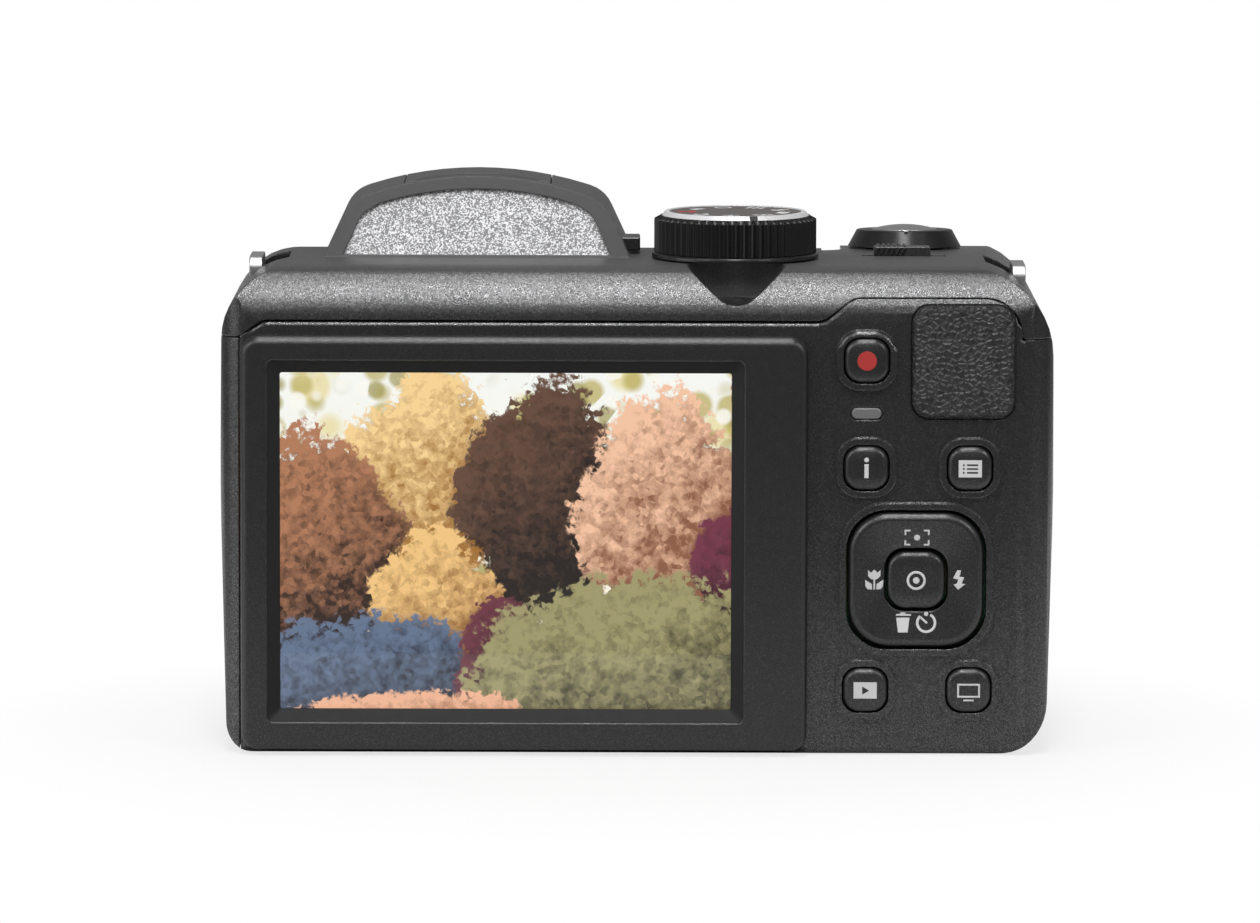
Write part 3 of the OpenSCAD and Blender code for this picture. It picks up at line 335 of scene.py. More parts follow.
# sparkle_plastic takes base grey, flake grey, share of flakes and roughness
FINISH = {
    "body": sparkle_plastic("charcoal_sparkle_plastic", 0.013, 0.16, 0.25, 0.21),
    # Top cover: duller satin above the deck, painted lighter grey there as painted light on the top
    "cover": sparkle_plastic("top_cover_plastic", 0.013, 0.16, 0.25, 0.21, satin_painted_lighter_above=DECK_FROM),
    # Hump panel plastic: light grey with bright flakes, a painted sheen for the overhead light on
    # the panel
    "panel": sparkle_plastic("hump_panel_painted_sheen", 0.19, 0.68, 0.42, 0.36, grains=6500.0,
                             metallic=0.2),
    # Notch plastic: a lighter grey painted as light, standing in for fill light in the shade under
    # the dial
    "notch": sparkle_plastic("dial_notch_painted_light_plastic", 0.14, 0.3, 0.24, 0.3),
    "bezel": sparkle_plastic("bezel_plastic", 0.012, 0.09, 0.15, 0.28),
    "slope": sparkle_plastic("screen_slope_plastic", 0.012, 0.03, 0.10, 0.5, gleam=0.2),
    "key": sparkle_plastic("keycap_plastic", 0.012, 0.11, 0.20, 0.24, edge=0.1 * MM),
    "rubber": leather_rubber("leather_grain_rubber", 0.011),
    "gloss": gloss_plastic("gloss_black_plastic", 0.006, 0.26),
    "barrel": gloss_plastic("barrel_black", 0.011, 0.38),
    "bright": metal("satin_bright_metal", 0.5, 0.3),
    "silver": tinted("silver_paint", (0.74, 0.74, 0.75), 0.38, Metallic=0.5),
    "steel": metal("plain_steel", 0.55, 0.35),
    "brass": tinted("brass_insert", (0.72, 0.56, 0.28), 0.3, Metallic=1.0),
    "print": tinted("dial_print", (0.085, 0.075, 0.068), 0.5),
    "mark": tinted("pale_marking", (0.56, 0.56, 0.56), 0.5),
    "dark": tinted("dark_marking", (0.012, 0.012, 0.012), 0.5),
    "red": tinted("record_red", (0.37, 0.022, 0.019), 0.45),
    "lamp": tinted("status_lamp_grey", (0.14, 0.14, 0.14), 0.3),
    "amber": tinted("focus_lamp_amber", (0.45, 0.14, 0.03), 0.15),
    "diffuser": tinted("flash_diffuser", (0.85, 0.85, 0.82), 0.2),
    "inner": tinted("inner_black_plastic", (0.03, 0.03, 0.03), 0.55),
    "door": sparkle_plastic("door_plastic", 0.012, 0.11, 0.20, 0.28),
    "board": circuit_board("circuit_board_green"),
    "window": clear_glass("screen_cover_glass", (1.0, 1.0, 1.0), 1.25),
    "lens": clear_glass("coated_lens_glass", (0.90, 0.92, 1.0), 1.35, gleam=(0.45, 0.5, 1.0)),
    "picture": screen_picture("screen_picture", *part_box("screen_panel")),
}


# Pieces

BODIES = frame["record"]["behaviour"]["bodies"]
BODY_OF = {node: body for body, nodes in BODIES.items() for node in nodes}
WELD = 0.002 * MM
ONE_PLANE = math.radians(0.5)
FLAT_BELOW = 35.0
EASE_STEPS = 3
CORNER_STEPS = 8
EDGE_STEPS = 5
CROWN_STEPS = (0.5, 0.3, 0.2)
CROWN_INSET = 0.25
NEAR = 1e-6


def show(name, bm, finish, body, flat_below=FLAT_BELOW):
    """Puts a finished bmesh into the scene as a piece that rides on a body."""
    bmesh.ops.recalc_face_normals(bm, faces=bm.faces)
    for face in bm.faces:
        face.smooth = True
    for edge in bm.edges:
        edge.smooth = edge.calc_face_angle(math.pi) < math.radians(flat_below)
    mesh = bpy.data.meshes.new(name)
    bm.to_mesh(mesh)
    bm.free()
    piece = bpy.data.objects.new(name, mesh)
    bpy.context.scene.collection.objects.link(piece)
    piece.data.materials.append(FINISH[finish])
    weigh = piece.modifiers.new("even_normals", "WEIGHTED_NORMAL")
    weigh.keep_sharp = True
    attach(piece, body)
    return piece


def merged(node):
    """A copy of a CAD node's mesh with its triangles joined into whole faces."""
    bm = bmesh.new()
    bm.from_mesh(frame["nodes"][node].data)
    bmesh.ops.remove_doubles(bm, verts=bm.verts, dist=WELD)
    bmesh.ops.dissolve_limit(bm, angle_limit=ONE_PLANE, verts=bm.verts, edges=bm.edges)
    return bm


def mark_outer_edges(bm):
    """Gives the edges that stand out a bevel weight, and leaves the inner corners crisp."""
    bmesh.ops.recalc_face_normals(bm, faces=bm.faces)
    weight = bm.edges.layers.float.new("bevel_weight_edge")
    for edge in bm.edges:
        if edge.is_convex and edge.calc_face_angle(0.0) > math.radians(FLAT_BELOW):
            edge[weight] = 1.0


def finished(node, finish, edge=0.0, mesh=None, outer_only=False):
    """A merged copy of a CAD node with smooth curves and eased edges."""
    bm = mesh or merged(node)
    if outer_only:
        mark_outer_edges(bm)
    piece = show(node + "_finish", bm, finish, BODY_OF[node])
    if edge:
        ease = piece.modifiers.new("eased_edges", "BEVEL")
        ease.width = edge
        ease.segments = EASE_STEPS
        ease.limit_method = "WEIGHT" if outer_only else "ANGLE"
        ease.angle_limit = math.radians(FLAT_BELOW)
        piece.modifiers.move(1, 0)
    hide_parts(node)
    return piece


def modelled(node, bm, finish):
    """A modelled piece that takes a CAD node's place."""
    piece = show(node + "_piece", bm, finish, BODY_OF[node])
    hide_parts(node)
    return piece


def bevel(bm, geom, offset, segments=EDGE_STEPS, affect="EDGES"):
    bmesh.ops.bevel(bm, geom=geom, offset=offset, segments=segments, profile=0.5,
                    affect=affect, material=-1)


def outline(bm, width, height, radius):
    """Adds a rounded rectangle that faces -Y at Y = 0."""
    corners = [bm.verts.new((x * width / 2, 0.0, z * height / 2))
               for x, z in ((-1, -1), (1, -1), (1, 1), (-1, 1))]
    bm.faces.new(corners)
    bevel(bm, corners, radius, CORNER_STEPS, "VERTICES")


def extrude(bm, faces, way):
    """Extrudes faces along a vector and returns the new end faces."""
    new = bmesh.ops.extrude_face_region(bm, geom=faces)["geom"]
    verts = [part for part in new if isinstance(part, bmesh.types.BMVert)]
    bmesh.ops.translate(bm, verts=verts, vec=way)
    return [part for part in new if isinstance(part, bmesh.types.BMFace)]


def pull(bm, faces, depth):
    """Extrudes faces by depth towards -Y."""
    return extrude(bm, faces, (0.0, -depth, 0.0))


def soft_block(width, height, radius, depth, edge, crown=0.0):
    """A key: rounded outline, back at Y = 0, soft front edge and a slight crown."""
    bm = bmesh.new()
    outline(bm, width, height, radius)
    front = pull(bm, bm.faces[:], depth - crown)
    bevel(bm, front[0].edges[:], edge)
    if crown:
        top = min(bm.faces, key=lambda face: (round(face.calc_center_median().y, 6),
                                              -face.calc_area()))
        top.normal_update()
        if top.normal.y > 0:
            top.normal_flip()
        for share in CROWN_STEPS:
            bmesh.ops.inset_individual(bm, faces=[top], thickness=CROWN_INSET * (radius - edge),
                                       depth=share * crown)
    return bm


def frame_face(bm, outer, inner, shift):
    """Bridges two rounded rectangles, each (width, height, radius), into a flat frame."""
    outline(bm, *outer)
    before = set(bm.verts)
    outline(bm, *inner)
    moved = [vert for vert in bm.verts if vert not in before]
    bmesh.ops.translate(bm, verts=moved, vec=(shift[0], 0.0, shift[1]))
    bmesh.ops.delete(bm, geom=bm.faces[:], context="FACES_ONLY")
    return bmesh.ops.bridge_loops(bm, edges=bm.edges[:])["faces"]


def soft_frame(outer, inner, depth, edge_out, edge_in, shift):
    """A flat frame with soft front edges, back at Y = 0. Its opening is shifted in X and Z."""
    bm = bmesh.new()
    front = pull(bm, frame_face(bm, outer, inner, shift), depth)

    def by_opening(vert):
        return (abs(vert.co.x - shift[0]) <= inner[0] / 2 + NEAR
                and abs(vert.co.z - shift[1]) <= inner[1] / 2 + NEAR)

    rim = [edge for edge in bm.edges if sum(face in front for face in edge.link_faces) == 1]
    inside = [edge for edge in rim if all(by_opening(vert) for vert in edge.verts)]
    bevel(bm, [edge for edge in rim if edge not in inside], edge_out)
    bevel(bm, [edge for edge in inside if edge.is_valid], edge_in, EASE_STEPS)
    return bm


def rings(loops):
    """Rounded rectangles, each (width, height, radius, y), joined in turn into one skin."""
    bm = bmesh.new()
    borders = []
    for width, height, radius, y in loops:
        verts, edges = set(bm.verts), set(bm.edges)
        outline(bm, width, height, radius)
        moved = [vert for vert in bm.verts if vert not in verts]
        bmesh.ops.translate(bm, verts=moved, vec=(0.0, y, 0.0))
        borders.append([edge for edge in bm.edges if edge not in edges])
    bmesh.ops.delete(bm, geom=bm.faces[:], context="FACES_ONLY")
    for near, far in zip(borders, borders[1:]):
        bmesh.ops.bridge_loops(bm, edges=near + far)
    return bm


def placed(bm, place):
    bmesh.ops.translate(bm, verts=bm.verts, vec=place)
    return bm


def seated(bm, low, high):
    """Moves a piece from Y = 0 to the middle of a box's back face."""
    return placed(bm, ((low.x + high.x) / 2, high.y, (low.z + high.z) / 2))


# Covers and plain pieces

SOFT_EDGE = 0.25 * MM
LUG_EDGE = 0.7 * MM
REAR_EDGE = 0.4 * MM
TOP_EDGE = 0.7 * MM
TOP_STEPS = 6
SHOULDER_FROM = 55.0 * MM
PANEL, NOTCH = 1, 2
PANEL_BAND = 10.0 * MM
NOTCH_HALF = 6.8 * MM
NOTCH_TOP = 66.3 * MM


def below_shoulder(edge):
    """Whether an edge joins the flat rear face to a shoulder above it."""
    faces = edge.link_faces
    return (len(faces) == 2 and edge.is_convex
            and min(face.normal.y for face in faces) < -0.99
            and max(face.normal.z for face in faces) > 0.3
            and min(vert.co.z for vert in edge.verts) > SHOULDER_FROM)


rear = merged("rear_cover")
rear.normal_update()
bevel(rear, [edge for edge in rear.edges if below_shoulder(edge)], TOP_EDGE, TOP_STEPS)
finished("rear_cover", "body", REAR_EDGE, mesh=rear, outer_only=True)
finished("front_cover", "body", SOFT_EDGE)
finished("flash_head", "cover", SOFT_EDGE)

# Top cover with its hump panel and the notch under the dial; the panel and the notch get lighter
# plastics as painted light
cover = finished("top_cover", "cover", SOFT_EDGE)
cover.data.materials.append(FINISH["panel"])
cover.data.materials.append(FINISH["notch"])
hump_low, hump_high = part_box("flash_head")
# The large faces of the hump panel take the lighter panel plastic, a painted sheen
panels = [face for face in cover.data.polygons
          if face.normal.y < -0.9 and 0.1 < face.normal.z < 0.4
          and face.center.z > hump_high.z - PANEL_BAND]
largest = max(face.area for face in panels)
for face in panels:
    if face.area > 0.5 * largest:
        face.material_index = PANEL
dial_low, dial_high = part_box("mode_dial")
# Notch faces take the lighter notch plastic: painted light in the shade under the dial
for face in cover.data.polygons:
    beside = abs(face.center.x - (dial_low.x + dial_high.x) / 2)
    upright = face.normal.y < -0.1 and abs(face.normal.z) < 0.02
    if upright and beside < NOTCH_HALF and face.center.z < NOTCH_TOP:
        face.material_index = NOTCH

# Painted shade: dark sheets set inside the split lines beside the flash head, so the gaps read as
# shaded
SHADE_SHEET_SHARE = 0.94
SHADE_SHEET_SPAN = (0.04 * MM, 0.08 * MM)
SIDE_REACH = 0.05 * MM
PIN_CLEAR = 0.2 * MM
head = merged("flash_head")
head.normal_update()
bm = bmesh.new()
for side, edge_x in ((-1, hump_low.x), (1, hump_high.x)):
    start = Vector((side * SHADE_SHEET_SPAN[0], 0.0, 0.0))
    for face in head.faces:
        middle = face.calc_center_bounds()
        if face.normal.x * side > 0.99 and abs(middle.x - edge_x) < SIDE_REACH:
            sheet = bm.faces.new([bm.verts.new(middle.lerp(vert.co, SHADE_SHEET_SHARE) + start)
                                  for vert in face.verts])
            extrude(bm, [sheet], (side * (SHADE_SHEET_SPAN[1] - SHADE_SHEET_SPAN[0]), 0.0, 0.0))
head.free()
above_pin = Vector((0.0, 0.0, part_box("flash_pin")[1].z + PIN_CLEAR))
bmesh.ops.bisect_plane(bm, geom=bm.verts[:] + bm.edges[:] + bm.faces[:], plane_co=above_pin,
                       plane_no=(0.0, 0.0, 1.0), clear_inner=True)
bmesh.ops.holes_fill(bm, edges=[edge for edge in bm.edges if edge.is_boundary])
show("flash_gap_painted_shade", bm, "dark", BODY_OF["flash_head"])

EDGED_FINISH = {
    "grip_skin": "rubber", "zoom_ring": "gloss", "power_slider": "key", "flash_button": "key",
    "lens_ring": "barrel", "battery_door": "door", "battery_latch": "key", "port_cover": "rubber",
}
for node, finish in EDGED_FINISH.items():
    finished(node, finish, SOFT_EDGE)
for node in ("strap_lug_left", "strap_lug_right"):
    finished(node, "bright", LUG_EDGE)
SMOOTH_FINISH = {
    "dial_plate": "print", "shutter_button": "bright", "flash_window": "diffuser",
    "focus_lamp": "amber", "outer_barrel": "barrel", "inner_barrel": "barrel",
    "front_ring": "barrel", "front_glass": "lens", "zoom_glass": "lens", "rear_glass": "lens",
    "screen_window": "window", "screen_panel": "picture", "tripod_socket": "brass",
    "screws": "steel", "data_socket": "steel",
}
for node, finish in SMOOTH_FINISH.items():
    finished(node, finish)
INNER_FINISH = {
    "steel": ["flash_pin", "battery_pin", "port_pin_rod", "pad_pivot_ring", "chassis",
              "zoom_motor", "cam_ring"],
    "board": ["key_board", "release_board", "sensor_board", "main_board"],
    "gloss": ["image_sensor"],
    "inner": ["lens_housing", "battery_box", "battery", "memory_card", "speaker",
              "flash_capacitor"],
}
for finish, nodes in INNER_FINISH.items():
    for node in nodes:
        materials = frame["nodes"][node].data.materials
        materials.clear()
        materials.append(FINISH[finish])

# Rear controls

FLANGE = 0.8 * MM
CROWN = 0.12 * MM
BUTTONS = ("record_button", "info_button", "menu_button", "play_button", "display_button")
# Each key: hidden flange, corner radius, edge radius, crown, finish
KEYS = {node: (FLANGE, 2.2 * MM, 0.8 * MM, CROWN, "key") for node in BUTTONS}
KEYS["set_button"] = (0.0, 2.4 * MM, 0.7 * MM, CROWN, "key")
KEYS["status_light"] = (0.0, 0.78 * MM, 0.3 * MM, 0.0, "lamp")
KEYS["thumb_pad"] = (0.0, 2.4 * MM, 0.8 * MM, 0.0, "rubber")
for node, (flange, radius, edge, crown, finish) in KEYS.items():
    low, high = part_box(node)
    width, height = high.x - low.x - 2 * flange, high.z - low.z - 2 * flange
    bm = soft_block(width, height, radius, high.y - low.y, edge, crown)
    modelled(node, seated(bm, low, high), finish)

# Four-way pad: round outer edge, a shallow dish, and a hole for the set button
PAD_RADIUS = 5.5 * MM
PAD_EDGE = 1.1 * MM
PAD_STEPS = 6
PAD_FLANGE = 1.1 * MM
PAD_DISH = 0.5 * MM
DISH_SHARES = (0.04, 0.35, 1.0)
HOLE_GAP = 0.7 * MM
# Where the dish meets the hole: extra width, corner radius, depth below the dish
HOLE_RIM = (0.8 * MM, 3.0 * MM)
HOLE_STEPS = ((0.2 * MM, 2.7 * MM, 0.15 * MM), (0.0, 2.6 * MM, 0.5 * MM))
set_low, set_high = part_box("set_button")
low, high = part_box("four_way_pad")
hole = set_high.x - set_low.x + HOLE_GAP
side = high.x - low.x
rim = side - 2 * PAD_EDGE
pad_front = low.y
pad_back = high.y - PAD_FLANGE
loops = [(side, side, PAD_RADIUS, pad_back)]
for step in range(PAD_STEPS + 1):
    turn = math.pi / 2 * step / PAD_STEPS
    inset = PAD_EDGE * (1.0 - math.cos(turn))
    width = side - 2 * inset
    depth = PAD_EDGE * (1.0 - math.sin(turn))
    loops.append((width, width, PAD_RADIUS - inset, pad_front + depth))
for share in DISH_SHARES:
    width = rim + share * (hole + HOLE_RIM[0] - rim)
    radius = PAD_RADIUS - PAD_EDGE + share * (HOLE_RIM[1] - PAD_RADIUS + PAD_EDGE)
    loops.append((width, width, radius, pad_front + share * PAD_DISH))
for extra, radius, depth in HOLE_STEPS:
    loops.append((hole + extra, hole + extra, radius, pad_front + PAD_DISH + depth))
loops.append((hole, hole, HOLE_STEPS[-1][1], pad_back))
pad_middle = Vector(((low.x + high.x) / 2, 0.0, (low.z + high.z) / 2))
modelled("four_way_pad", placed(rings(loops), pad_middle), "key")
pad_slope = PAD_DISH / ((rim - hole - HOLE_RIM[0]) / 2)

# Printed marks: flat shapes in mm, x to the right and z up

FILM = 0.04 * MM
SUNK = 0.02 * MM


def disc(x, z, radius, count=28):
    turns = [2 * math.pi * step / count for step in range(count)]
    return [(x + radius * math.cos(turn), z + radius * math.sin(turn)) for turn in turns]


def bar(x0, z0, x1, z1):
    return [(x0, z0), (x1, z0), (x1, z1), (x0, z1)]


def stroke(x0, z0, x1, z1, width):
    """A straight line of a width."""
    half = Vector((x1 - x0, z1 - z0)).normalized() * width / 2
    return [(x0 + half.y, z0 - half.x), (x1 + half.y, z1 - half.x),
            (x1 - half.y, z1 + half.x), (x0 - half.y, z0 + half.x)]


def arc(outer, inner, start, end, count=24):
    """Part of a ring, from one angle to another in degrees."""
    turns = [math.radians(start + (end - start) * step / count) for step in range(count + 1)]
    there = [(outer * math.cos(turn), outer * math.sin(turn)) for turn in turns]
    back = [(inner * math.cos(turn), inner * math.sin(turn)) for turn in reversed(turns)]
    return there + back


def mirrored(shape):
    return [(-x, z) for x, z in reversed(shape)]


def hollow(w, h, line):
    """The four bars of an open box."""
    return [bar(-w, -h, w, -h + line), bar(-w, h - line, w, h),
            bar(-w, -h + line, -w + line, h - line), bar(w - line, -h + line, w, h - line)]


def glyph(name, shapes, finish, body, place):
    """Shapes as a thin film whose back lies at Y = 0 before it is placed."""
    bm = bmesh.new()
    for shape in shapes:
        bm.faces.new([bm.verts.new((x * MM, 0.0, z * MM)) for x, z in shape])
    pull(bm, bm.faces[:], FILM)
    bmesh.ops.transform(bm, matrix=place, verts=bm.verts)
    show(name, bm, finish, body)


LEAF = [(-1.25, 0.0), (-1.2, -0.9), (-0.9, -1.3), (-0.28, -1.35), (-0.3, -0.6)]
CUP = [(-0.85, 1.35), (-0.85, 0.5), (-0.45, 0.1), (-0.12, 0.0), (-0.12, -1.35), (0.12, -1.35),
       (0.12, 0.0), (0.45, 0.1), (0.85, 0.5), (0.85, 1.35), (0.45, 0.95), (0.0, 1.4), (-0.45, 0.95)]
FLOWER = [CUP, LEAF, mirrored(LEAF)]
BOLT = [[(-0.25, 1.33), (-0.8, 0.2), (-0.1, 0.05), (-0.3, -0.5), (-0.75, -0.62), (-0.12, -1.35),
         (0.88, -0.55), (0.38, -0.48), (0.72, 0.38), (0.08, 0.45), (0.3, 1.33)]]
BIN = [bar(-1.1, 0.92, 1.1, 1.18), bar(-0.35, 1.18, 0.35, 1.38),
       [(-0.92, 0.7), (-0.66, -1.32), (0.66, -1.32), (0.92, 0.7)]]
TIMER = [arc(1.38, 1.02, -228, 62, 40), disc(0.0, 1.2, 0.3, 16),
         stroke(-0.82, 0.8, 0.12, -0.05, 0.3)]
FOCUS = [bar(-1.7, 0.85, -0.9, 1.1), bar(-1.7, 0.35, -1.45, 0.85), bar(-1.7, -1.1, -0.9, -0.85),
         bar(-1.7, -0.85, -1.45, -0.35)]
FOCUS += [mirrored(shape) for shape in FOCUS] + [disc(0.0, 0.0, 0.42)]
RING = [arc(1.3, 0.95, 0, 180), arc(1.3, 0.95, 180, 360)]
INFO = [disc(0.0, 1.17, 0.33, 20), bar(-0.29, -1.3, 0.29, 0.62)]
ARROW = [[(-0.4, 0.55), (-0.4, -0.55), (0.52, 0.0)]]
LIST_LINES = []
for z in (-0.52, 0.0, 0.52):
    LIST_LINES += [disc(-0.88, z, 0.14, 12), bar(-0.45, z - 0.11, 1.05, z + 0.11)]
SCREEN = hollow(1.55, 0.95, 0.26) + [bar(-0.7, -1.45, 0.7, -1.2)]

# Each mark: button, finish, lift over another mark, shapes
BUTTON_MARKS = {
    "record_mark": ("record_button", "red", 0.0, [disc(0.0, 0.0, 1.32, 40)]),
    "info_mark": ("info_button", "mark", 0.0, INFO),
    "menu_mark": ("menu_button", "mark", 0.0, [bar(-1.58, -1.18, 1.58, 1.18)]),
    "menu_lines": ("menu_button", "dark", FILM / 2, LIST_LINES),
    "play_mark": ("play_button", "mark", 0.0, [bar(-1.58, -1.12, 1.58, 1.12)]),
    "play_arrow": ("play_button", "dark", FILM / 2, ARROW),
    "display_mark": ("display_button", "mark", 0.0, SCREEN),
    "set_mark": ("set_button", "mark", 0.0, RING + [disc(0.0, 0.0, 0.45)]),
}
for name, (node, finish, lift, shapes) in BUTTON_MARKS.items():
    low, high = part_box(node)
    place = ((low.x + high.x) / 2, low.y + SUNK - lift, (low.z + high.z) / 2)
    glyph(name, shapes, finish, node, Matrix.Translation(place))

PAD_MARKS = {
    "focus_mark": (FOCUS, (0.1, 5.75)), "macro_mark": (FLOWER, (-5.65, 0.0)),
    "flash_mark": (BOLT, (5.8, 0.0)), "delete_mark": (BIN, (-1.75, -5.85)),
    "timer_mark": (TIMER, (1.4, -5.85)),
}
for name, (shapes, (x, z)) in PAD_MARKS.items():
    lean = Matrix.Identity(4)
    if abs(x) > abs(z):
        lean[1][0] = math.copysign(pad_slope, -x)
    else:
        lean[1][2] = math.copysign(pad_slope, -z)
    sunk = pad_slope * (rim / 2 - max(abs(x), abs(z)) * MM) + SUNK
    place = pad_middle + Vector((x * MM, pad_front + sunk, z * MM))
    glyph(name, shapes, "mark", "four_way_pad", Matrix.Translation(place) @ lean)

# Screen bezel with its sunken opening

GLASS_RIM = 2.0 * MM
PICTURE_RADIUS = 0.3 * MM
SLOPE_RIM = 1.7 * MM
SLOPE_DROP = 0.3 * MM
OPENING_RADIUS = 0.8 * MM
OPENING_EDGE = 0.25 * MM
BEZEL_RADIUS = 2.4 * MM
BEZEL_EDGE = 1.1 * MM
low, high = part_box("screen_bezel")
glass_low, glass_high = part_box("screen_window")
picture_w = glass_high.x - glass_low.x - 2 * GLASS_RIM
picture_h = glass_high.z - glass_low.z - 2 * GLASS_RIM
glass_middle = (glass_low + glass_high) / 2
bezel_middle = (low + high) / 2
shift = (glass_middle.x - bezel_middle.x, glass_middle.z - bezel_middle.z)
opening = (picture_w + 2 * SLOPE_RIM, picture_h + 2 * SLOPE_RIM, OPENING_RADIUS)
bm = soft_frame((high.x - low.x, high.z - low.z, BEZEL_RADIUS), opening, high.y - low.y,
                BEZEL_EDGE, OPENING_EDGE, shift)
modelled("screen_bezel", seated(bm, low, high), "bezel")
bm = rings([(*opening, low.y - glass_low.y + SLOPE_DROP),
            (picture_w, picture_h, PICTURE_RADIUS, 0.0)])
placed(bm, (glass_middle.x, glass_low.y, glass_middle.z))
show("screen_slope", bm, "slope", "root")

# Mode dial

RIBS = 60
RIB_POINTS = 8
RIB_DEPTH = 0.5 * MM
RIB_SHARPNESS = 0.7
DIAL_HEIGHT = 6.2 * MM
DIAL_FOOT = 0.7 * MM
FOOT_GAP = 0.05 * MM
FOOT_REACH = 0.3 * MM
FOOT_EDGE = 0.3 * MM
FOOT_POINTS = 160
DIAL_CHAMFER = 1.0 * MM
CHAMFER_INSET = 0.35 * MM
RING_GAP = 0.1 * MM
RING_BAND = 0.5 * MM
RING_LIP = 0.2 * MM
RING_LEAN = 0.42 * MM
RING_SKIRT = 0.05 * MM
RING_POINTS = 240
SEAT_INSET = 0.15 * MM
SEAT_DROP = 0.1 * MM
STEEP = 0.02 * MM
low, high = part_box("mode_dial")
ring_low, ring_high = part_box("dial_ring")
plate_low, plate_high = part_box("dial_plate")
dial_r = (high.x - low.x) / 2
rib_r = dial_r - FOOT_REACH
ring_r = (ring_high.x - ring_low.x) / 2
plate_r = (plate_high.x - plate_low.x) / 2
dial_middle = (plate_low + plate_high) / 2
dial_base = high.z - DIAL_HEIGHT
band_rise = ring_high.z - ring_low.z


def disc_block(radius, height, base, segments):
    """A disc on Z, and its top face."""
    bm = bmesh.new()
    bmesh.ops.create_cone(bm, cap_ends=True, segments=segments, radius1=radius, radius2=radius,
                          depth=height)
    bmesh.ops.translate(bm, verts=bm.verts, vec=(0.0, 0.0, base + height / 2))
    caps = [face for face in bm.faces if len(face.verts) > 4]
    return bm, max(caps, key=lambda face: face.calc_center_median().z)


def step_in(bm, face, thickness, depth=0.0):
    bmesh.ops.inset_individual(bm, faces=[face], thickness=thickness, depth=depth)


bm, top = disc_block(rib_r, DIAL_HEIGHT - DIAL_FOOT - DIAL_CHAMFER, DIAL_FOOT, RIBS * RIB_POINTS)
for vert in bm.verts:
    turn = math.atan2(vert.co.y, vert.co.x) * RIBS
    vert.co.xy *= 1.0 - RIB_DEPTH * (0.5 - 0.5 * math.cos(turn)) ** RIB_SHARPNESS / rib_r
step_in(bm, top, CHAMFER_INSET, DIAL_CHAMFER - RING_BAND)
for vert in top.verts:
    vert.co.xy = vert.co.xy.normalized() * (ring_r + RING_LIP + RING_GAP)
step_in(bm, top, SEAT_INSET)
step_in(bm, top, STEEP, -SEAT_DROP)
modelled("mode_dial", placed(bm, (dial_middle.x, dial_middle.y, dial_base)), "gloss")
bm, top = disc_block(ring_r + RING_LIP, RING_SKIRT, -RING_SKIRT, RING_POINTS)
step_in(bm, top, RING_LEAN, band_rise)
step_in(bm, top, ring_r + RING_LIP - RING_LEAN - plate_r)
step_in(bm, top, STEEP, -band_rise)
modelled("dial_ring", placed(bm, (dial_middle.x, dial_middle.y, ring_low.z)), "silver")
bm, top = disc_block(dial_r, DIAL_FOOT - FOOT_GAP, 0.0, FOOT_POINTS)
bevel(bm, top.edges[:], FOOT_EDGE, EASE_STEPS)
placed(bm, (dial_middle.x, dial_middle.y, dial_base))
show("dial_foot", bm, "gloss", "mode_dial")

SUN = [disc(0.0, 0.0, 0.5)]
for step in range(8):
    across, up = math.cos(math.pi / 4 * step), math.sin(math.pi / 4 * step)
    SUN.append(stroke(0.8 * across, 0.8 * up, 1.25 * across, 1.25 * up, 0.22))
DIAL_MARKS = [
    [arc(1.2, 0.9, 0, 180), arc(1.2, 0.9, 180, 360)],
    [[(-1.4, -0.8), (1.4, -0.8), (0.5, 0.5), (0.2, 0.1), (-0.35, 0.9)]],
    FLOWER,
    [arc(1.2, 0.75, 60, 300), disc(0.6, 0.2, 0.25, 12)],
    SUN,
    hollow(1.3, 0.9, 0.25) + [disc(0.0, 0.0, 0.4)],
    [bar(-1.3, -0.8, 0.5, 0.8), [(0.65, -0.2), (1.3, -0.7), (1.3, 0.7), (0.65, 0.2)]],
    BOLT,
    [bar(-1.2, -1.0, -0.75, 1.0), bar(-0.25, -1.0, 0.2, 1.0), bar(0.7, -1.0, 1.15, 1.0)],
]
MARK_RADIUS = 6.7 * MM
MARK_START = 0.35
RED_MARK = 2
INDEX_TURN = math.radians(194.0)
INDEX_HALF = 0.55
top_place = Matrix.Translation((dial_middle.x, dial_middle.y, plate_high.z - SUNK))
flat = Matrix.Rotation(-math.pi / 2, 4, "X")
for index, shapes in enumerate(DIAL_MARKS):
    turn = Matrix.Rotation(2 * math.pi * (index + MARK_START) / len(DIAL_MARKS), 4, "Z")
    glyph("dial_mark_%d" % index, shapes, "red" if index == RED_MARK else "mark", "mode_dial",
          top_place @ turn @ Matrix.Translation((0.0, MARK_RADIUS, 0.0)) @ flat)
band_half = math.hypot(RING_LEAN, band_rise) / 2 / MM
gap_mark = bar(-INDEX_HALF, -band_half, INDEX_HALF, band_half)
glyph("dial_gap_mark", [gap_mark], "dark", "mode_dial",
      Matrix.Translation((dial_middle.x, dial_middle.y, ring_low.z + band_rise / 2)) @
      Matrix.Rotation(INDEX_TURN, 4, "Z") @
      Matrix.Translation((0.0, ring_r + RING_LIP - RING_LEAN / 2 - SUNK, 0.0)) @
      Matrix.Rotation(-math.pi / 2 - math.atan2(band_rise, RING_LEAN), 4, "X"))

# Power slider grip and zoom ring mark

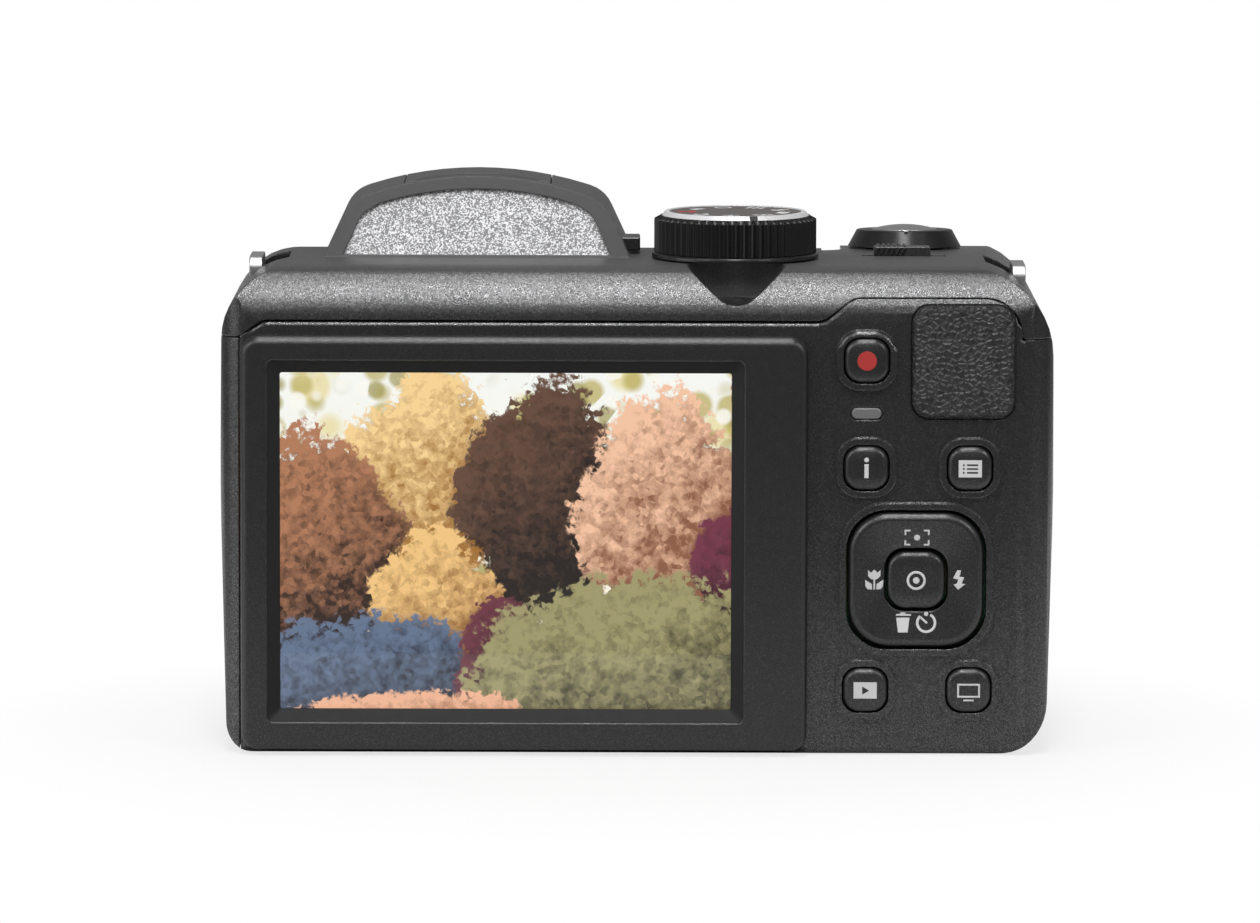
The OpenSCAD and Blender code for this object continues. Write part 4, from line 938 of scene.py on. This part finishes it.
GRIP_RIBS = 6
GRIP_START = 0.6 * MM
GRIP_PITCH = 0.72 * MM
GRIP_ROUND = 0.24 * MM
GRIP_POINTS = 16
GRIP_LENGTH = 3.6 * MM
GRIP_SUNK = 0.1 * MM
GRIP_DROP = 0.15 * MM
GRIP_FALL = 1.1 * MM
GRIP_SLANT = math.radians(24.0)
ZOOM_INDEX_INSET = 1.5 * MM


def grip_rib(bm, middle, length, turn):
    """A thin round rib, laid along Y or leaned in the rear face."""
    rib = bmesh.ops.create_cone(bm, cap_ends=True, segments=GRIP_POINTS, radius1=GRIP_ROUND,
                                radius2=GRIP_ROUND, depth=length)
    bmesh.ops.rotate(bm, verts=rib["verts"], matrix=turn)
    bmesh.ops.translate(bm, verts=rib["verts"], vec=middle)


low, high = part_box("power_slider")
bm = bmesh.new()
for index in range(GRIP_RIBS):
    x = low.x + GRIP_START + index * GRIP_PITCH
    grip_rib(bm, (x, (low.y + high.y) / 2, high.z - GRIP_SUNK), GRIP_LENGTH,
             Matrix.Rotation(math.pi / 2, 3, "X"))
    leaned = x - GRIP_FALL / 2 * math.tan(GRIP_SLANT)
    grip_rib(bm, (leaned, low.y + GRIP_SUNK, high.z - GRIP_DROP - GRIP_FALL / 2), GRIP_FALL,
             Matrix.Rotation(GRIP_SLANT, 3, "Y"))
show("slider_ribs", bm, "gloss", "power_slider")
low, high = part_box("shutter_button")
zoom_low, zoom_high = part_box("zoom_ring")
place = ((low.x + high.x) / 2, zoom_low.y + ZOOM_INDEX_INSET, zoom_high.z - SUNK)
glyph("zoom_index", [bar(-0.25, -0.6, 0.25, 0.6)], "mark", "zoom_ring",
      Matrix.Translation(place) @ flat)

# Ribbed band on the fixed lens ring

LENS_RIBS = 120
LENS_RIB = 0.3 * MM
LENS_GROOVE = 0.02 * MM
LIP_SUNK = 0.1 * MM
STEPS = 4
BAND = (0.35, 0.8)
BAND_FLAT_BELOW = 20.0
low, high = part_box("lens_ring")
length = high.y - low.y
lens_r = (high.x - low.x) / 2
bm = bmesh.new()
bmesh.ops.create_cone(bm, cap_ends=False, segments=STEPS * LENS_RIBS, radius1=lens_r,
                      radius2=lens_r, depth=(BAND[1] - BAND[0]) * length)
for vert in bm.verts:
    turn = math.atan2(vert.co.y, vert.co.x) / (2 * math.pi)
    on_rib = round(turn * STEPS * LENS_RIBS) % STEPS < STEPS / 2
    vert.co.xy *= 1.0 + (LENS_RIB if on_rib else LENS_GROOVE) / lens_r
lip = bmesh.ops.extrude_edge_only(bm, edges=[edge for edge in bm.edges if edge.is_boundary])["geom"]
for part in lip:
    if isinstance(part, bmesh.types.BMVert):
        part.co.xy = part.co.xy.normalized() * (lens_r - LIP_SUNK)
bmesh.ops.rotate(bm, verts=bm.verts, matrix=Matrix.Rotation(math.pi / 2, 3, "X"))
placed(bm, ((low.x + high.x) / 2, low.y + sum(BAND) / 2 * length, (low.z + high.z) / 2))
show("lens_ring_ribs", bm, "barrel", "root", BAND_FLAT_BELOW)

# Camera, floor and light

PHOTO = (1260, 923)
MM_PER_PIXEL = 0.135
AIM_PIXEL = (630.0, 461.5)
MIDDLE_PIXEL = 637.0
BASE_PIXEL = 756.0
DISTANCE = 1.1
PITCH = math.radians(6.5)
ROLL = math.radians(0.17)
SENSOR = 36.0

rear_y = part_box("rear_cover")[0].y
aim = Vector(((AIM_PIXEL[0] - MIDDLE_PIXEL) * MM_PER_PIXEL * MM, rear_y,
              (BASE_PIXEL - AIM_PIXEL[1]) * MM_PER_PIXEL / math.cos(PITCH) * MM))
camera = bpy.data.objects.new("camera", bpy.data.cameras.new("camera"))
bpy.context.scene.collection.objects.link(camera)
camera.data.sensor_width = SENSOR
camera.data.lens = SENSOR * DISTANCE / (PHOTO[0] * MM_PER_PIXEL * MM)
camera.location = aim + DISTANCE * Vector((0.0, -math.cos(PITCH), math.sin(PITCH)))
look = Matrix.Rotation(math.pi / 2 - PITCH, 3, "X") @ Matrix.Rotation(ROLL, 3, "Z")
camera.rotation_euler = look.to_euler()
bpy.context.scene.camera = camera

# The floor is white to the camera, and keeps a soft shadow near the part.
FLOOR_FRONT = -0.12
FLOOR_BACK = 6.0
FLOOR_HALF = 0.22
FLOOR_DROP = 0.1 * MM
FLOOR_GREY = (0.6, 0.6, 0.6)
BOUNCE_GREY = (0.16, 0.16, 0.16)
SHADOW_SHARE = 0.26
SHADOW_REACH = 0.055
SHADOW_FADE = 24.0
bm = bmesh.new()
bmesh.ops.create_grid(bm, x_segments=1, y_segments=1, size=1.0)
bmesh.ops.scale(bm, verts=bm.verts, vec=(FLOOR_HALF, (FLOOR_BACK - FLOOR_FRONT) / 2, 1.0))
placed(bm, (0.0, (FLOOR_BACK + FLOOR_FRONT) / 2, cad_box[0][2] - FLOOR_DROP))
floor_mesh = bpy.data.meshes.new("floor")
bm.to_mesh(floor_mesh)
bm.free()
floor = bpy.data.objects.new("floor", floor_mesh)
bpy.context.scene.collection.objects.link(floor)
paint = Paint("white_floor", FLOOR_GREY, 0.7, Specular_IOR_Level=0.1)
x, y, _ = paint.axes()
reach = paint.node("ShaderNodeMath", {"operation": "SQRT"}, {0: x * x + y * y})
rays = paint.outputs("ShaderNodeLightPath")
paint.set("Base Color", paint.mix(rays["Is Diffuse Ray"], FLOOR_GREY, BOUNCE_GREY))
seen = (rays["Is Camera Ray"] + rays["Is Transmission Ray"]).clamp()
away = ((reach - SHADOW_REACH) * SHADOW_FADE).clamp()
share = (seen * (1.0 - SHADOW_SHARE + SHADOW_SHARE * away)
         + (1.0 - seen) * rays["Is Glossy Ray"] * away)
white = paint.node("ShaderNodeEmission", inputs={"Color": (1.0, 1.0, 1.0), "Strength": 1.0})
lit = Wire(paint, paint.shader.outputs[0])
surface = paint.node("ShaderNodeMixShader", inputs={0: share, 1: lit, 2: white})
paint.feed(paint.tree.nodes["Material Output"].inputs["Surface"], surface)
floor.data.materials.append(paint.material)


LAMP_AIM = Vector((0.0, 0.0, 0.04))


def lamp(name, place, size, power):
    """An area lamp that faces the part."""
    light = bpy.data.lights.new(name, "AREA")
    light.shape = "RECTANGLE"
    light.size, light.size_y = size
    light.energy = power
    holder = bpy.data.objects.new(name, light)
    bpy.context.scene.collection.objects.link(holder)
    holder.location = place
    holder.rotation_euler = (LAMP_AIM - Vector(place)).to_track_quat("-Z", "Y").to_euler()


lamp("top_light", (0.0, -0.52, 1.12), (0.18, 0.95), 8.5)
lamp("front_light", (0.0, -0.95, 0.7), (0.22, 0.5), 2.2)
lamp("back_top_light", (0.0, 0.2, 1.2), (0.22, 0.5), 2.2)
lamp("upper_left_light", (-0.8, -0.8, 0.75), (0.3, 0.5), 4.0)
lamp("upper_right_light", (0.8, -0.8, 0.75), (0.3, 0.5), 4.0)
lamp("left_light", (-1.2, -0.35, 0.35), (0.8, 0.8), 4.0)
lamp("right_light", (1.3, -0.4, 0.5), (0.6, 0.9), 0.6)

# The world is white to the camera. Mirrored, the room behind the camera is dim.
ROOM = 0.15
BACKDROP = 0.28
BACKDROP_FROM = 0.15
BACKDROP_RISE = 2.0
FILL = 0.45
world = bpy.data.worlds.new("studio")
bpy.context.scene.world = world
world.use_nodes = True
sky = Tree(world.node_tree)
way = sky.outputs("ShaderNodeSeparateXYZ", {0: sky.node("ShaderNodeTexCoord", out="Generated")})
rays = sky.outputs("ShaderNodeLightPath")
behind = ((way["Y"] - BACKDROP_FROM) * BACKDROP_RISE).clamp()
mirrored_room = ROOM + (BACKDROP - ROOM) * behind
mirror = (rays["Is Glossy Ray"] + rays["Is Transmission Ray"]).clamp()
room = FILL + mirror * (mirrored_room - FILL)
background = world.node_tree.nodes["Background"]
sky.feed(background.inputs["Color"], (1.0, 1.0, 1.0))
sky.feed(background.inputs["Strength"], room + rays["Is Camera Ray"] * (1.0 - room))

bpy.context.scene.view_settings.view_transform = "Standard"
